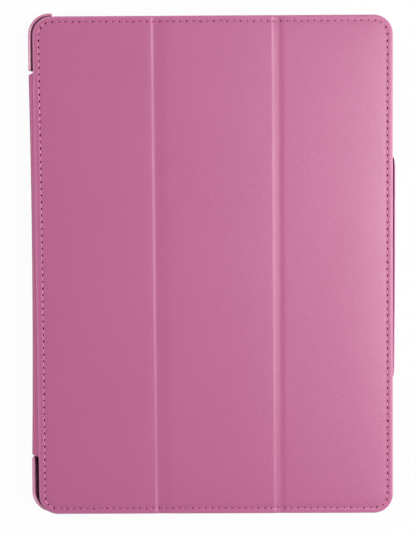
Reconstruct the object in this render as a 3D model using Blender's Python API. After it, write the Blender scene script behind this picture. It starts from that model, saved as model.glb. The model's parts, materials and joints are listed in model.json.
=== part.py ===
"""Folding case for a tablet of the ten-inch class, lying closed on its back.

A hard tray holds the tablet by two corner walls and a long side tab. A soft cover of three
board-stiffened panels hangs on a spine, which wraps the tray's left side and is bonded to its back.
The cover folds away along two grooves into a three-sided stand.

+X points to the cover's free edge, +Y to the top of the upright tablet and +Z out of the cover.
The origin is at the middle of the back.
"""

import math

import bmesh
import bpy
from mathutils import Matrix

MM = 0.001

# Tablet that the case is cut for
TABLET_WIDTH = 176.4 * MM
TABLET_HEIGHT = 243.4 * MM
TABLET_DEPTH = 8.0 * MM

# Moulded tray
TABLET_ROOM = 1.0 * MM
WALL_THICKNESS = 1.4 * MM
BACK_THICKNESS = 1.8 * MM
WALL_ABOVE_TABLET = 0.8 * MM
TRAY_CORNER_RADIUS = 10.5 * MM
FOOT_RADIUS = 3.0 * MM
FLOOR_RADIUS = 1.2 * MM
OPEN_EDGE_INSET = 1.8 * MM
CORNER_WALL_ALONG_SIDE = 28.2 * MM
CORNER_WALL_ALONG_END = 10.4 * MM
WALL_END_CHAMFER = 0.8 * MM
TAB_LENGTH = 108.8 * MM
TAB_END_TAPER = 4.0 * MM

# Bead inside the walls that the tablet clicks under
SNAP_HEIGHT = 1.1 * MM
SNAP_SLOPE = 0.4 * MM
SNAP_OVERHANG = 0.2 * MM

# Window for the rear camera, measured from the tray's right side and top end
CAMERA_WIDTH = 20.0 * MM
CAMERA_HEIGHT = 12.0 * MM
CAMERA_FROM_SIDE = 20.0 * MM
CAMERA_FROM_END = 15.0 * MM

# Layers of the soft goods
SKIN_THICKNESS = 0.8 * MM
LINING_THICKNESS = 0.5 * MM
BOARD_THICKNESS = 1.0 * MM
LINER_THICKNESS = 0.5 * MM
GLUE = 0.1 * MM
JOIN_GAP = 0.15 * MM
LINER_GAP = 0.3 * MM

# Cover
COVER_GAP = 0.5 * MM
COVER_LEFT_INSET = 2.8 * MM
COVER_RIGHT_INSET = 1.2 * MM
COVER_END_INSET = 0.3 * MM
COVER_CORNER_RADIUS = 9.5 * MM
COVER_EDGE_ROUND = 1.0 * MM
INNER_PANEL_WIDTH = 57.7 * MM
MIDDLE_PANEL_WIDTH = 54.6 * MM
FOLD_WIDTH = 5.0 * MM
LINING_INSET = 0.4 * MM
BOARD_MARGIN = 4.2 * MM
BOARD_FOLD_MARGIN = 1.4 * MM

# Sewn seam along the cover's edge
STITCH_INSET = 2.4 * MM
STITCH_PITCH = 3.3 * MM
STITCH_CHANNEL_RADIUS = 0.6 * MM
THREAD_RADIUS = 0.22 * MM
THREAD_CREST = 0.05 * MM
THREAD_DIP = 0.2 * MM
THREAD_END = 1.0 * MM

# Magnets let into the boards
MAGNET_LENGTH = 20.0 * MM
MAGNET_WIDTH = 5.0 * MM
MAGNET_THICKNESS = 0.8 * MM
MAGNET_EDGE = 3.0 * MM
MAGNET_FROM_MIDDLE = 70.0 * MM
WAKE_MAGNET_LENGTH = 10.0 * MM
WAKE_MAGNET_FROM_MIDDLE = 25.0 * MM

# Spine, which wraps the tray's left side from the back to the cover
SPINE_INSET = 0.6 * MM
SPINE_END_GAP = 0.3 * MM
SPINE_END_SLANT = 1.0 * MM
BACK_BEND_RADIUS = 3.0 * MM
FRONT_BEND_RADIUS = 2.2 * MM
FLAP_WIDTH = 26.0 * MM
FLAP_RECESS = 0.1 * MM
TRAY_EDGE_AT_SPINE = 3.8 * MM
BACK_HINGE_BEND = 65.0
FRONT_HINGE_BEND = 70.0

# Fineness of the round forms
CORNER_STEPS = 8
BEND_STEPS = 4
ROUND_STEPS = 3
TOUCH = 0.001 * MM

# Heights, from the back to the top of the cover
FLOOR_TOP = BACK_THICKNESS
LINER_TOP = FLOOR_TOP + GLUE + LINER_THICKNESS
TABLET_TOP = LINER_TOP + TABLET_DEPTH
WALL_TOP = TABLET_TOP + WALL_ABOVE_TABLET
COVER_BOTTOM = WALL_TOP + COVER_GAP
SKIN_BOTTOM = COVER_BOTTOM + LINING_THICKNESS + GLUE
BOARD_TOP = SKIN_BOTTOM + BOARD_THICKNESS
COVER_TOP = BOARD_TOP + GLUE + SKIN_THICKNESS
HINGE_TOP = SKIN_BOTTOM + SKIN_THICKNESS
HINGE_MIDDLE = (COVER_BOTTOM + HINGE_TOP) / 2

# Plan of the tray
TRAY_X = TABLET_WIDTH / 2 + TABLET_ROOM + WALL_THICKNESS
TRAY_Y = TABLET_HEIGHT / 2 + TABLET_ROOM + WALL_THICKNESS
OPEN_X = TRAY_X - OPEN_EDGE_INSET
OPEN_Y = TRAY_Y - OPEN_EDGE_INSET
CORNER_END_X = CORNER_WALL_ALONG_END - TRAY_X
CORNER_END_Y = TRAY_Y - CORNER_WALL_ALONG_SIDE
TAB_Y = TAB_LENGTH / 2
CAMERA_X = TRAY_X - CAMERA_FROM_SIDE
CAMERA_Y = TRAY_Y - CAMERA_FROM_END
SPINE_EDGE_X = TRAY_EDGE_AT_SPINE - TRAY_X
BEYOND = 2 * FOOT_RADIUS

# Plan of the cover
COVER_Y = TRAY_Y - COVER_END_INSET
COVER_LEFT = COVER_LEFT_INSET - TRAY_X
COVER_RIGHT = TRAY_X - COVER_RIGHT_INSET
INNER_PANEL = (COVER_LEFT, COVER_LEFT + INNER_PANEL_WIDTH)
MIDDLE_PANEL = (INNER_PANEL[1] + FOLD_WIDTH, INNER_PANEL[1] + FOLD_WIDTH + MIDDLE_PANEL_WIDTH)
OUTER_PANEL = (MIDDLE_PANEL[1] + FOLD_WIDTH, COVER_RIGHT)

# Section of the spine
SPINE_X = SPINE_INSET - TRAY_X
SPINE_Y = CORNER_END_Y - SPINE_END_GAP
FLAP_BOTTOM = FLAP_RECESS
FLAP_TOP = FLAP_BOTTOM + SKIN_THICKNESS
BACK_BEND = (SPINE_X + BACK_BEND_RADIUS, FLAP_BOTTOM + BACK_BEND_RADIUS)
FRONT_BEND = (SPINE_X + FRONT_BEND_RADIUS, HINGE_TOP - FRONT_BEND_RADIUS)
FLAP_RIGHT = SPINE_EDGE_X + FLAP_WIDTH

# Joint axes, all along Y: (x, z)
SPINE_AXIS = (
    BACK_BEND[0] - BACK_BEND_RADIUS * math.sin(math.radians(BACK_HINGE_BEND)) / 3,
    FLAP_TOP - SKIN_THICKNESS / 4,
)
COVER_AXIS = (COVER_LEFT - FRONT_BEND_RADIUS * 0.3, HINGE_MIDDLE)
INNER_FOLD_AXIS = (INNER_PANEL[1] + FOLD_WIDTH / 2, HINGE_MIDDLE)
OUTER_FOLD_AXIS = (MIDDLE_PANEL[1] + FOLD_WIDTH / 2, HINGE_MIDDLE)


def arc(centre, radius, start, end, steps):
    """Points on a circular arc between two angles in degrees, both ends included."""
    angles = [math.radians(start + (end - start) * step / steps) for step in range(steps + 1)]
    return [(centre[0] + radius * math.cos(a), centre[1] + radius * math.sin(a)) for a in angles]


def round_box(left, right, half_y, left_radius, right_radius):
    """Anticlockwise outline with its own corner radius on each side; a radius of 0 is square."""
    corners = (
        (right, half_y, right_radius, 0),
        (left, half_y, left_radius, 90),
        (left, -half_y, left_radius, 180),
        (right, -half_y, right_radius, 270),
    )
    outline = []
    for x, y, radius, start in corners:
        centre = (x - math.copysign(radius, x - (left + right) / 2), y - math.copysign(radius, y))
        outline += arc(centre, radius, start, start + 90, CORNER_STEPS) if radius else [(x, y)]
    return outline


def mirrored(outline):
    """The same outline on the other side of the X axis, with its direction kept."""
    return [(x, -y) for x, y in reversed(outline)]


def new_collection(name):
    """A collection in the scene."""
    collection = bpy.data.collections.new(name)
    bpy.context.scene.collection.children.link(collection)
    return collection


def new_material(name, colour, roughness, metallic=0.0):
    """A plain surface of one colour."""
    material = bpy.data.materials.new(name)
    material.use_nodes = True
    shader = material.node_tree.nodes["Principled BSDF"]
    shader.inputs["Base Color"].default_value = (*colour, 1.0)
    shader.inputs["Roughness"].default_value = roughness
    shader.inputs["Metallic"].default_value = metallic
    material.diffuse_color = (*colour, 1.0)
    return material


def mesh_object(name, mesh):
    """Puts a mesh in the scene as a part, smooth except at its sharp edges."""
    mesh.shade_smooth()
    mesh.set_sharp_from_angle(angle=math.radians(40))
    part = bpy.data.objects.new(name, mesh)
    PARTS.objects.link(part)
    return part


def from_curve(name, curve, matrix):
    """Turns a curve into a closed mesh part and removes the curve."""
    guide = bpy.data.objects.new(name + "_guide", curve)
    bpy.context.scene.collection.objects.link(guide)
    graph = bpy.context.evaluated_depsgraph_get()
    mesh = bpy.data.meshes.new_from_object(guide.evaluated_get(graph))
    bpy.data.objects.remove(guide)
    bpy.data.curves.remove(curve)
    mesh.name = name
    shape = bmesh.new()
    shape.from_mesh(mesh)
    bmesh.ops.transform(shape, matrix=matrix, verts=shape.verts)
    bmesh.ops.remove_doubles(shape, verts=shape.verts, dist=TOUCH)
    bmesh.ops.dissolve_limit(shape, angle_limit=0.001, verts=shape.verts, edges=shape.edges)
    bmesh.ops.recalc_face_normals(shape, faces=shape.faces)
    shape.to_mesh(mesh)
    shape.free()
    return mesh_object(name, mesh)


def poly_curve(name, points, dimensions, closed):
    """A curve of straight stretches through the points."""
    curve = bpy.data.curves.new(name, "CURVE")
    curve.dimensions = dimensions
    spline = curve.splines.new("POLY")
    spline.points.add(len(points) - 1)
    for target, point in zip(spline.points, points):
        target.co = (*point, 1.0) if len(point) == 3 else (*point, 0.0, 1.0)
    spline.use_cyclic_u = closed
    return curve


def plate(name, outline, bottom, top):
    """A flat solid between two heights."""
    curve = poly_curve(name, outline, "2D", True)
    curve.fill_mode = "BOTH"
    curve.extrude = (top - bottom) / 2
    return from_curve(name, curve, Matrix.Translation((0, 0, (bottom + top) / 2)))


def extrusion_along_y(name, section, half_length):
    """A solid whose X-Z section runs along Y."""
    curve = poly_curve(name, section, "2D", True)
    curve.fill_mode = "BOTH"
    curve.extrude = half_length
    return from_curve(name, curve, Matrix.Rotation(math.radians(90), 4, "X"))


def tube(name, points, radius, resolution):
    """A closed tube along the points."""
    curve = poly_curve(name, points, "3D", False)
    curve.fill_mode = "FULL"
    curve.bevel_depth = radius
    curve.bevel_resolution = resolution
    curve.use_fill_caps = True
    return from_curve(name, curve, Matrix.Identity(4))


def loft(name, rings):
    """A closed solid through rings of equally many points, with a flat face at each end."""
    shape = bmesh.new()
    loops = [[shape.verts.new(point) for point in ring] for ring in rings]
    count = len(rings[0])
    for lower, upper in zip(loops, loops[1:]):
        for a in range(count):
            b = (a + 1) % count
            shape.faces.new((lower[a], lower[b], upper[b], upper[a]))
    shape.faces.new(reversed(loops[0]))
    shape.faces.new(loops[-1])
    bmesh.ops.recalc_face_normals(shape, faces=shape.faces)
    mesh = bpy.data.meshes.new(name)
    shape.to_mesh(mesh)
    shape.free()
    return mesh_object(name, mesh)


def round_rim(part, height, radius):
    """Rounds the edges that lie at one height."""
    shape = bmesh.new()
    shape.from_mesh(part.data)
    rim = [e for e in shape.edges if all(abs(v.co.z - height) < TOUCH for v in e.verts)]
    bmesh.ops.bevel(shape, geom=rim, offset=radius, segments=ROUND_STEPS, profile=0.5, affect="EDGES")
    shape.to_mesh(part.data)
    shape.free()
    part.data.set_sharp_from_angle(angle=math.radians(40))


def cut(part, cutter):
    """Takes the cutter's volume out of the part, and puts the cutter away."""
    modifier = part.modifiers.new("cut_" + cutter.name, "BOOLEAN")
    modifier.operation = "DIFFERENCE"
    modifier.object = cutter
    if cutter.name in PARTS.objects:
        PARTS.objects.unlink(cutter)
        CUTTERS.objects.link(cutter)
        cutter.hide_render = True
        cutter.display_type = "WIRE"


def place(part, body, material):
    """Gives a part its surface and hangs it on a body's empty."""
    part.data.materials.append(material)
    part.parent = body
    part.matrix_parent_inverse = body.matrix_world.inverted()


def new_body(name, axis=(0.0, 0.0), parent=None):
    """An empty on a joint's axis, carried by the body before it."""
    body = bpy.data.objects.new(name, None)
    PARTS.objects.link(body)
    body.location = (axis[0], 0.0, axis[1])
    if parent:
        body.parent = parent
        body.matrix_parent_inverse = parent.matrix_world.inverted()
    bpy.context.view_layer.update()
    return body


def tray_profile():
    """Section of the tray's edge from its back to its floor: (distance in from the side, height)."""
    snap_reach = WALL_THICKNESS + TABLET_ROOM + SNAP_OVERHANG
    snap_bottom = TABLET_TOP - SNAP_HEIGHT
    rim_radius = WALL_THICKNESS / 2
    foot = arc((FOOT_RADIUS, FOOT_RADIUS), FOOT_RADIUS, 270, 180, BEND_STEPS)
    rim = arc((rim_radius, WALL_TOP - rim_radius), rim_radius, 180, 0, 2 * ROUND_STEPS)
    snap = [
        (WALL_THICKNESS, TABLET_TOP),
        (snap_reach, TABLET_TOP - SNAP_SLOPE),
        (snap_reach, snap_bottom + SNAP_SLOPE),
        (WALL_THICKNESS, snap_bottom),
    ]
    floor_centre = (WALL_THICKNESS + FLOOR_RADIUS, FLOOR_TOP + FLOOR_RADIUS)
    floor = arc(floor_centre, FLOOR_RADIUS, 180, 270, ROUND_STEPS)
    return foot + rim + snap + floor


def open_side_outline():
    """Plan of what is cut away outside the back, from the upper corner wall round to the side tab."""
    radius = TRAY_CORNER_RADIUS - OPEN_EDGE_INSET
    chamfer_end = WALL_END_CHAMFER + BEYOND
    far_x = TRAY_X + BEYOND
    far_y = TRAY_Y + BEYOND
    corner = arc((OPEN_X - radius, OPEN_Y - radius), radius, 90, 0, CORNER_STEPS)
    turns = [math.radians(90 * step / BEND_STEPS) for step in range(BEND_STEPS + 1)]
    taper = [
        (OPEN_X + OPEN_EDGE_INSET * math.sin(t), TAB_Y - TAB_END_TAPER * (1 - math.cos(t))) for t in turns
    ]
    outside = [
        (far_x, TAB_Y - TAB_END_TAPER),
        (far_x, far_y),
        (CORNER_END_X - chamfer_end, far_y),
        (CORNER_END_X, TRAY_Y - WALL_END_CHAMFER),
        (CORNER_END_X, OPEN_Y),
    ]
    return list(reversed(corner + taper + outside))


def spine_gap_outline():
    """Plan of what is cut away between the two corner walls, where the spine passes."""
    chamfer_end = WALL_END_CHAMFER + BEYOND
    upper = [
        (SPINE_EDGE_X, CORNER_END_Y),
        (WALL_END_CHAMFER - TRAY_X, CORNER_END_Y),
        (-TRAY_X - BEYOND, CORNER_END_Y + chamfer_end),
    ]
    return upper + [(x, -y) for x, y in reversed(upper)]


def make_tray(body, material):
    """Back, two corner walls and side tab, moulded in one piece."""
    rings = []
    for inset, height in tray_profile():
        radius = TRAY_CORNER_RADIUS - inset
        outline = round_box(inset - TRAY_X, TRAY_X - inset, TRAY_Y - inset, radius, radius)
        rings.append([(x, y, height) for x, y in outline])
    tray = loft("back_shell", rings)
    far_top = WALL_TOP + BEYOND
    above_floor = FLOOR_TOP + 2 * FLOOR_RADIUS
    upper_side = open_side_outline()
    upper_walls = [
        (CORNER_END_X, TAB_Y),
        (TRAY_X + BEYOND, TAB_Y),
        (TRAY_X + BEYOND, TRAY_Y + BEYOND),
        (CORNER_END_X, TRAY_Y + BEYOND),
    ]
    cut(tray, plate("upper_side_cutter", upper_side, -BEYOND, far_top))
    cut(tray, plate("lower_side_cutter", mirrored(upper_side), -BEYOND, far_top))
    cut(tray, plate("upper_bead_cutter", upper_walls, above_floor, far_top))
    cut(tray, plate("lower_bead_cutter", mirrored(upper_walls), above_floor, far_top))
    cut(tray, plate("spine_gap_cutter", spine_gap_outline(), -BEYOND, far_top))
    recess = round_box(SPINE_EDGE_X - BEYOND, FLAP_RIGHT + JOIN_GAP, SPINE_Y + JOIN_GAP, 0, 0)
    cut(tray, plate("flap_recess_cutter", recess, -BEYOND, FLAP_TOP + GLUE))
    cut(tray, camera_cutter("camera_cutter", 0.0))
    place(tray, body, material)


def camera_cutter(name, margin):
    """Round-ended window through the back, widened by a margin."""
    half_x = CAMERA_WIDTH / 2 + margin
    half_y = CAMERA_HEIGHT / 2 + margin
    outline = round_box(-half_x, half_x, half_y, half_y, half_y)
    moved = [(x + CAMERA_X, y + CAMERA_Y) for x, y in outline]
    return plate(name, moved, -BEYOND, WALL_TOP)


def make_liner(body, material):
    """Soft pad on the tray's floor."""
    inset = WALL_THICKNESS + FLOOR_RADIUS + LINER_GAP
    radius = TRAY_CORNER_RADIUS - inset
    outline = round_box(SPINE_EDGE_X + LINER_GAP, TRAY_X - inset, TRAY_Y - inset, radius, radius)
    liner = plate("tray_liner", outline, FLOOR_TOP + GLUE, LINER_TOP)
    cut(liner, camera_cutter("liner_camera_cutter", LINER_GAP))
    place(liner, body, material)


def make_flap(body, material):
    """Tail of the spine's skin, let into the tray's back."""
    outline = round_box(BACK_BEND[0] + JOIN_GAP, FLAP_RIGHT, SPINE_Y, 0, 0)
    place(plate("back_flap", outline, FLAP_BOTTOM, FLAP_TOP), body, material)


def wrap(depth, first, last):
    """Points of the spine's section at a depth under its outer face.

    A place on the section is an angle: 0 to 90 runs round the back bend, 90 to 180 round the front one.
    """
    points = []
    if first < 90:
        radius = BACK_BEND_RADIUS - depth
        points += arc(BACK_BEND, radius, 270 - first, 270 - min(last, 90), BEND_STEPS)
    if last > 90:
        radius = FRONT_BEND_RADIUS - depth
        points += arc(FRONT_BEND, radius, 270 - max(first, 90), 270 - last, BEND_STEPS)
    return points


def make_wrap_layer(name, outer, thickness, first, last, body, material):
    """One layer of the spine or of its bends, with ends that slant in towards the outermost line."""
    section = wrap(outer, first, last) + wrap(outer + thickness, first, last)[::-1]
    layer = extrusion_along_y(name, section, SPINE_Y)
    for vertex in layer.data.vertices:
        slant = 1 - min((vertex.co.x - SPINE_X) / FRONT_BEND_RADIUS, 1)
        vertex.co.y -= math.copysign(SPINE_END_SLANT * slant, vertex.co.y)
    place(layer, body, material)


def make_spine(body, leather, lining):
    """Spine with the bends that join it to the back flap and to the cover."""
    first = BACK_HINGE_BEND
    last = 180 - FRONT_HINGE_BEND
    back_gap = math.degrees(JOIN_GAP / BACK_BEND_RADIUS)
    front_gap = math.degrees(JOIN_GAP / FRONT_BEND_RADIUS)
    inner = SKIN_THICKNESS + GLUE
    make_wrap_layer("spine_skin", 0, SKIN_THICKNESS, first, last, body, leather)
    make_wrap_layer("spine_lining", inner, LINING_THICKNESS, first, last, body, lining)
    make_wrap_layer("back_hinge_skin", 0, SKIN_THICKNESS, 0, first - back_gap, body, leather)
    bend = (last + front_gap, 180 - front_gap)
    make_wrap_layer("front_hinge_skin", 0, SKIN_THICKNESS, *bend, body, leather)
    make_wrap_layer("front_hinge_lining", inner, LINING_THICKNESS, *bend, body, lining)


def corner_radii(left, right, inset):
    """Radii of a panel's left and right corners: round at the cover's ends, square at a fold."""
    radius = COVER_CORNER_RADIUS - inset
    return (radius if left == COVER_LEFT else 0, radius if right == COVER_RIGHT else 0)


def panel_outline(span, end_inset, fold_inset):
    """Plan of a panel's layer, drawn in from the cover's edges and from the folds."""
    left, right = span
    radii = corner_radii(left, right, end_inset)
    left += end_inset if left == COVER_LEFT else fold_inset
    right -= end_inset if right == COVER_RIGHT else fold_inset
    return round_box(left, right, COVER_Y - end_inset, *radii)


def stitch_paths(span, past_fold):
    """Lines of the seam on one panel, run past the folds by a length (short of them if negative)."""
    left, right = span
    half_y = COVER_Y - STITCH_INSET
    radius = COVER_CORNER_RADIUS - STITCH_INSET
    if left == COVER_LEFT:
        x = left + STITCH_INSET + radius
        upper = arc((x, half_y - radius), radius, 90, 180, CORNER_STEPS)
        lower = [(x, -y) for x, y in reversed(upper)]
        return [[(right + past_fold, half_y)] + upper + lower + [(right + past_fold, -half_y)]]
    if right == COVER_RIGHT:
        x = right - STITCH_INSET - radius
        upper = arc((x, half_y - radius), radius, 90, 0, CORNER_STEPS)
        lower = [(x, -y) for x, y in reversed(upper)]
        return [[(left - past_fold, half_y)] + upper + lower + [(left - past_fold, -half_y)]]
    ends = (left - past_fold, right + past_fold)
    return [[(x, half_y) for x in ends], [(x, -half_y) for x in ends]]


def evenly_along(path, spacing):
    """Points about a spacing apart on a path, an even number of steps from end to end."""
    lengths = [math.dist(a, b) for a, b in zip(path, path[1:])]
    steps = 2 * round(sum(lengths) / spacing / 2)
    step = sum(lengths) / steps
    points = []
    for index in range(steps + 1):
        rest = index * step
        leg = 0
        while leg < len(lengths) - 1 and rest > lengths[leg]:
            rest -= lengths[leg]
            leg += 1
        share = rest / lengths[leg]
        points.append([a + (b - a) * share for a, b in zip(path[leg], path[leg + 1])])
    return points


def make_stitching(name, path, body, material):
    """Thread that rises over each stitch and dips into the needle hole at its ends."""
    points = []
    for index, (x, y) in enumerate(evenly_along(path, STITCH_PITCH / 2)):
        drop = THREAD_CREST if index % 2 else THREAD_CREST + THREAD_DIP
        points.append((x, y, COVER_TOP - drop))
    place(tube(name, points, THREAD_RADIUS, 0), body, material)


def magnet_outline(x, y, length, margin):
    """Plan of a bar magnet or of its slot."""
    half_x = MAGNET_WIDTH / 2 + margin
    half_y = length / 2 + margin
    return [
        (x - half_x, y - half_y),
        (x + half_x, y - half_y),
        (x + half_x, y + half_y),
        (x - half_x, y + half_y),
    ]


def make_panel(name, span, magnets, seams, body, finishes):
    """Skin, board and lining of one cover panel, with its magnets and its seam."""
    skin = plate(name + "_skin", panel_outline(span, 0, 0), SKIN_BOTTOM, COVER_TOP)
    round_rim(skin, COVER_TOP, COVER_EDGE_ROUND)
    pocket_inset = BOARD_MARGIN - JOIN_GAP
    pocket = panel_outline(span, pocket_inset, BOARD_FOLD_MARGIN - JOIN_GAP)
    below = SKIN_BOTTOM - BEYOND
    cut(skin, plate(name + "_pocket_cutter", pocket, below, BOARD_TOP + GLUE))
    for index, path in enumerate(stitch_paths(span, FOLD_WIDTH)):
        channel = [(x, y, COVER_TOP) for x, y in path]
        cut(skin, tube(f"{name}_channel_cutter_{index}", channel, STITCH_CHANNEL_RADIUS, 2))
    place(skin, body, finishes["leatherette"])

    board = plate(name + "_board", panel_outline(span, BOARD_MARGIN, BOARD_FOLD_MARGIN), SKIN_BOTTOM, BOARD_TOP)
    for magnet, (x, y, length) in magnets.items():
        slot = magnet_outline(x, y, length, JOIN_GAP)
        cut(board, plate(magnet + "_slot_cutter", slot, below, COVER_TOP))
        bottom = SKIN_BOTTOM + (BOARD_THICKNESS - MAGNET_THICKNESS) / 2
        bar = plate(magnet, magnet_outline(x, y, length, 0), bottom, bottom + MAGNET_THICKNESS)
        place(bar, body, finishes["magnet"])
    place(board, body, finishes["board"])

    lining_top = COVER_BOTTOM + LINING_THICKNESS
    lining = plate(name + "_lining", panel_outline(span, LINING_INSET, 0), COVER_BOTTOM, lining_top)
    place(lining, body, finishes["lining"])
    for seam, path in zip(seams, stitch_paths(span, -THREAD_END)):
        make_stitching(seam, path, body, finishes["thread"])


def make_fold(name, left, body, finishes):
    """Bare strip of skin and lining between two panels, where the cover folds."""
    across = (left + JOIN_GAP, left + FOLD_WIDTH - JOIN_GAP)
    strip = round_box(*across, COVER_Y - LINING_INSET, 0, 0)
    skin = plate(name + "_skin", strip, SKIN_BOTTOM, HINGE_TOP)
    place(skin, body, finishes["leatherette"])
    lining = plate(name + "_lining", strip, COVER_BOTTOM, COVER_BOTTOM + LINING_THICKNESS)
    place(lining, body, finishes["lining"])


def main():
    """Builds the case, closed."""
    finishes = {
        "leatherette": new_material("pink_leatherette", (0.50, 0.14, 0.27), 0.45),
        "shell": new_material("pink_moulded_plastic", (0.62, 0.20, 0.36), 0.25),
        "lining": new_material("black_microfibre", (0.012, 0.011, 0.012), 0.95),
        "board": new_material("grey_board", (0.35, 0.33, 0.30), 0.9),
        "magnet": new_material("nickel_plate", (0.65, 0.63, 0.60), 0.25, 1.0),
        "thread": new_material("pink_thread", (0.55, 0.17, 0.31), 0.6),
    }
    tray = new_body("tray")
    spine = new_body("spine", SPINE_AXIS, tray)
    inner_panel = new_body("inner_panel", COVER_AXIS, spine)
    middle_panel = new_body("middle_panel", INNER_FOLD_AXIS, inner_panel)
    outer_panel = new_body("outer_panel", OUTER_FOLD_AXIS, middle_panel)

    make_tray(tray, finishes["shell"])
    make_liner(tray, finishes["lining"])
    make_flap(tray, finishes["leatherette"])
    make_spine(spine, finishes["leatherette"], finishes["lining"])

    stand_x = COVER_LEFT + BOARD_MARGIN + MAGNET_EDGE + MAGNET_WIDTH / 2
    stand_magnets = {
        "stand_magnet_top": (stand_x, MAGNET_FROM_MIDDLE, MAGNET_LENGTH),
        "stand_magnet_bottom": (stand_x, -MAGNET_FROM_MIDDLE, MAGNET_LENGTH),
    }
    closing_x = COVER_RIGHT - BOARD_MARGIN - MAGNET_EDGE - MAGNET_WIDTH / 2
    closing_magnets = {
        "closing_magnet_top": (closing_x, MAGNET_FROM_MIDDLE, MAGNET_LENGTH),
        "closing_magnet_bottom": (closing_x, -MAGNET_FROM_MIDDLE, MAGNET_LENGTH),
        "wake_magnet": (closing_x, WAKE_MAGNET_FROM_MIDDLE, WAKE_MAGNET_LENGTH),
    }
    make_panel("inner_panel", INNER_PANEL, stand_magnets, ["inner_panel_stitching"], inner_panel, finishes)
    middle_seams = ["middle_panel_top_stitching", "middle_panel_bottom_stitching"]
    make_panel("middle_panel", MIDDLE_PANEL, {}, middle_seams, middle_panel, finishes)
    make_panel("outer_panel", OUTER_PANEL, closing_magnets, ["outer_panel_stitching"], outer_panel, finishes)
    make_fold("inner_fold", INNER_PANEL[1], inner_panel, finishes)
    make_fold("outer_fold", MIDDLE_PANEL[1], middle_panel, finishes)


for leftover in list(bpy.data.objects):
    bpy.data.objects.remove(leftover)
PARTS = new_collection("tablet_case")
CUTTERS = new_collection("tablet_case_cutters")

if __name__ == "__main__":
    main()
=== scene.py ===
"""Looks of a folding tablet case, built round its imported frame.

A cover of three stitched leatherette panels lies closed on a glossy moulded tray. Lengths are in metres.
"""

import json
import logging
import math
from collections.abc import Sequence
from dataclasses import dataclass, field
from enum import Enum

import bpy
import numpy as np
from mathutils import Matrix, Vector

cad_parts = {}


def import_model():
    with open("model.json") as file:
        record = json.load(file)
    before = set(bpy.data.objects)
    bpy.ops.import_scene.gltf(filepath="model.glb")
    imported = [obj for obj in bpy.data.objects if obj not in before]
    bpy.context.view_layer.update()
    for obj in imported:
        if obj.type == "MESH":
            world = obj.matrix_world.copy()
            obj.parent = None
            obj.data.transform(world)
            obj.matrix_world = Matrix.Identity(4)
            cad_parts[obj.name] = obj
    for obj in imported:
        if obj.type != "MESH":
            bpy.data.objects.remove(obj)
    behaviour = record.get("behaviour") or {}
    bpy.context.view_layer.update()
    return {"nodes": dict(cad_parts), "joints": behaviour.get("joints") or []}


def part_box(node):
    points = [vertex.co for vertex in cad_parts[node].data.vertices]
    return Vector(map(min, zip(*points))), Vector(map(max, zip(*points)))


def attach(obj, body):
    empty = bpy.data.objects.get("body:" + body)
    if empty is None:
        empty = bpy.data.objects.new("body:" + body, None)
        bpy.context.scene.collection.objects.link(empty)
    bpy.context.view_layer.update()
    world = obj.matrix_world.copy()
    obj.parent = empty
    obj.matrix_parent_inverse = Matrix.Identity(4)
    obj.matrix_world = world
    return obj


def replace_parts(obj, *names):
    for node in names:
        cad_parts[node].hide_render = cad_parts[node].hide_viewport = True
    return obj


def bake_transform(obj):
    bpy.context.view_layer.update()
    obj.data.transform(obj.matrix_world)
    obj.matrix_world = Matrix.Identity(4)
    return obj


MM = 0.001

# Places of the colour sockets on a mix node, whose names are shared by other kinds of value
MIX_FIRST, MIX_SECOND, MIX_RESULT = 6, 7, 2

LOG = logging.getLogger("tablet_case")

Colour = tuple[float, float, float]


def srgb(red: int, green: int, blue: int) -> Colour:
    """Linear colour of an 8-bit screen colour.

    Args:
        red, green, blue: Screen values from 0 to 255.

    Returns:
        The three linear values.
    """
    shares = (value / 255 for value in (red, green, blue))
    return tuple(s / 12.92 if s <= 0.04045 else ((s + 0.055) / 1.055) ** 2.4 for s in shares)


def ease(value: np.ndarray, start: float, end: float) -> np.ndarray:
    """Smooth step from 0 at start to 1 at end."""
    share = np.clip((value - start) / (end - start), 0.0, 1.0)
    return share * share * (3.0 - 2.0 * share)


def quarter_round(inset: np.ndarray, radius: float | np.ndarray) -> np.ndarray:
    """Drop of a quarter-round edge at a distance in from it, nothing past the radius."""
    short = np.clip(radius - inset, 0.0, radius)
    return radius - np.sqrt(np.maximum(radius * radius - short * short, 0.0))


class Body(Enum):
    """Bodies of the frame."""

    TRAY = "tray"
    SPINE = "spine"
    INNER = "inner_panel"
    MIDDLE = "middle_panel"
    OUTER = "outer_panel"


class Finish(Enum):
    """Finishes of the case."""

    LEATHERETTE = "leatherette"
    PLASTIC = "shell_plastic"
    LINING = "lining"
    BOARD = "board"
    MAGNET = "magnet"
    THREAD = "thread"
    # Dark lenses of painted shade at the needle holes.
    HOLE_SHADE = "needle_hole"

    @property
    def slot(self) -> str:
        """Slot of the record that the finish belongs to."""
        return Finish.LEATHERETTE.value if self is Finish.HOLE_SHADE else self.value


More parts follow.
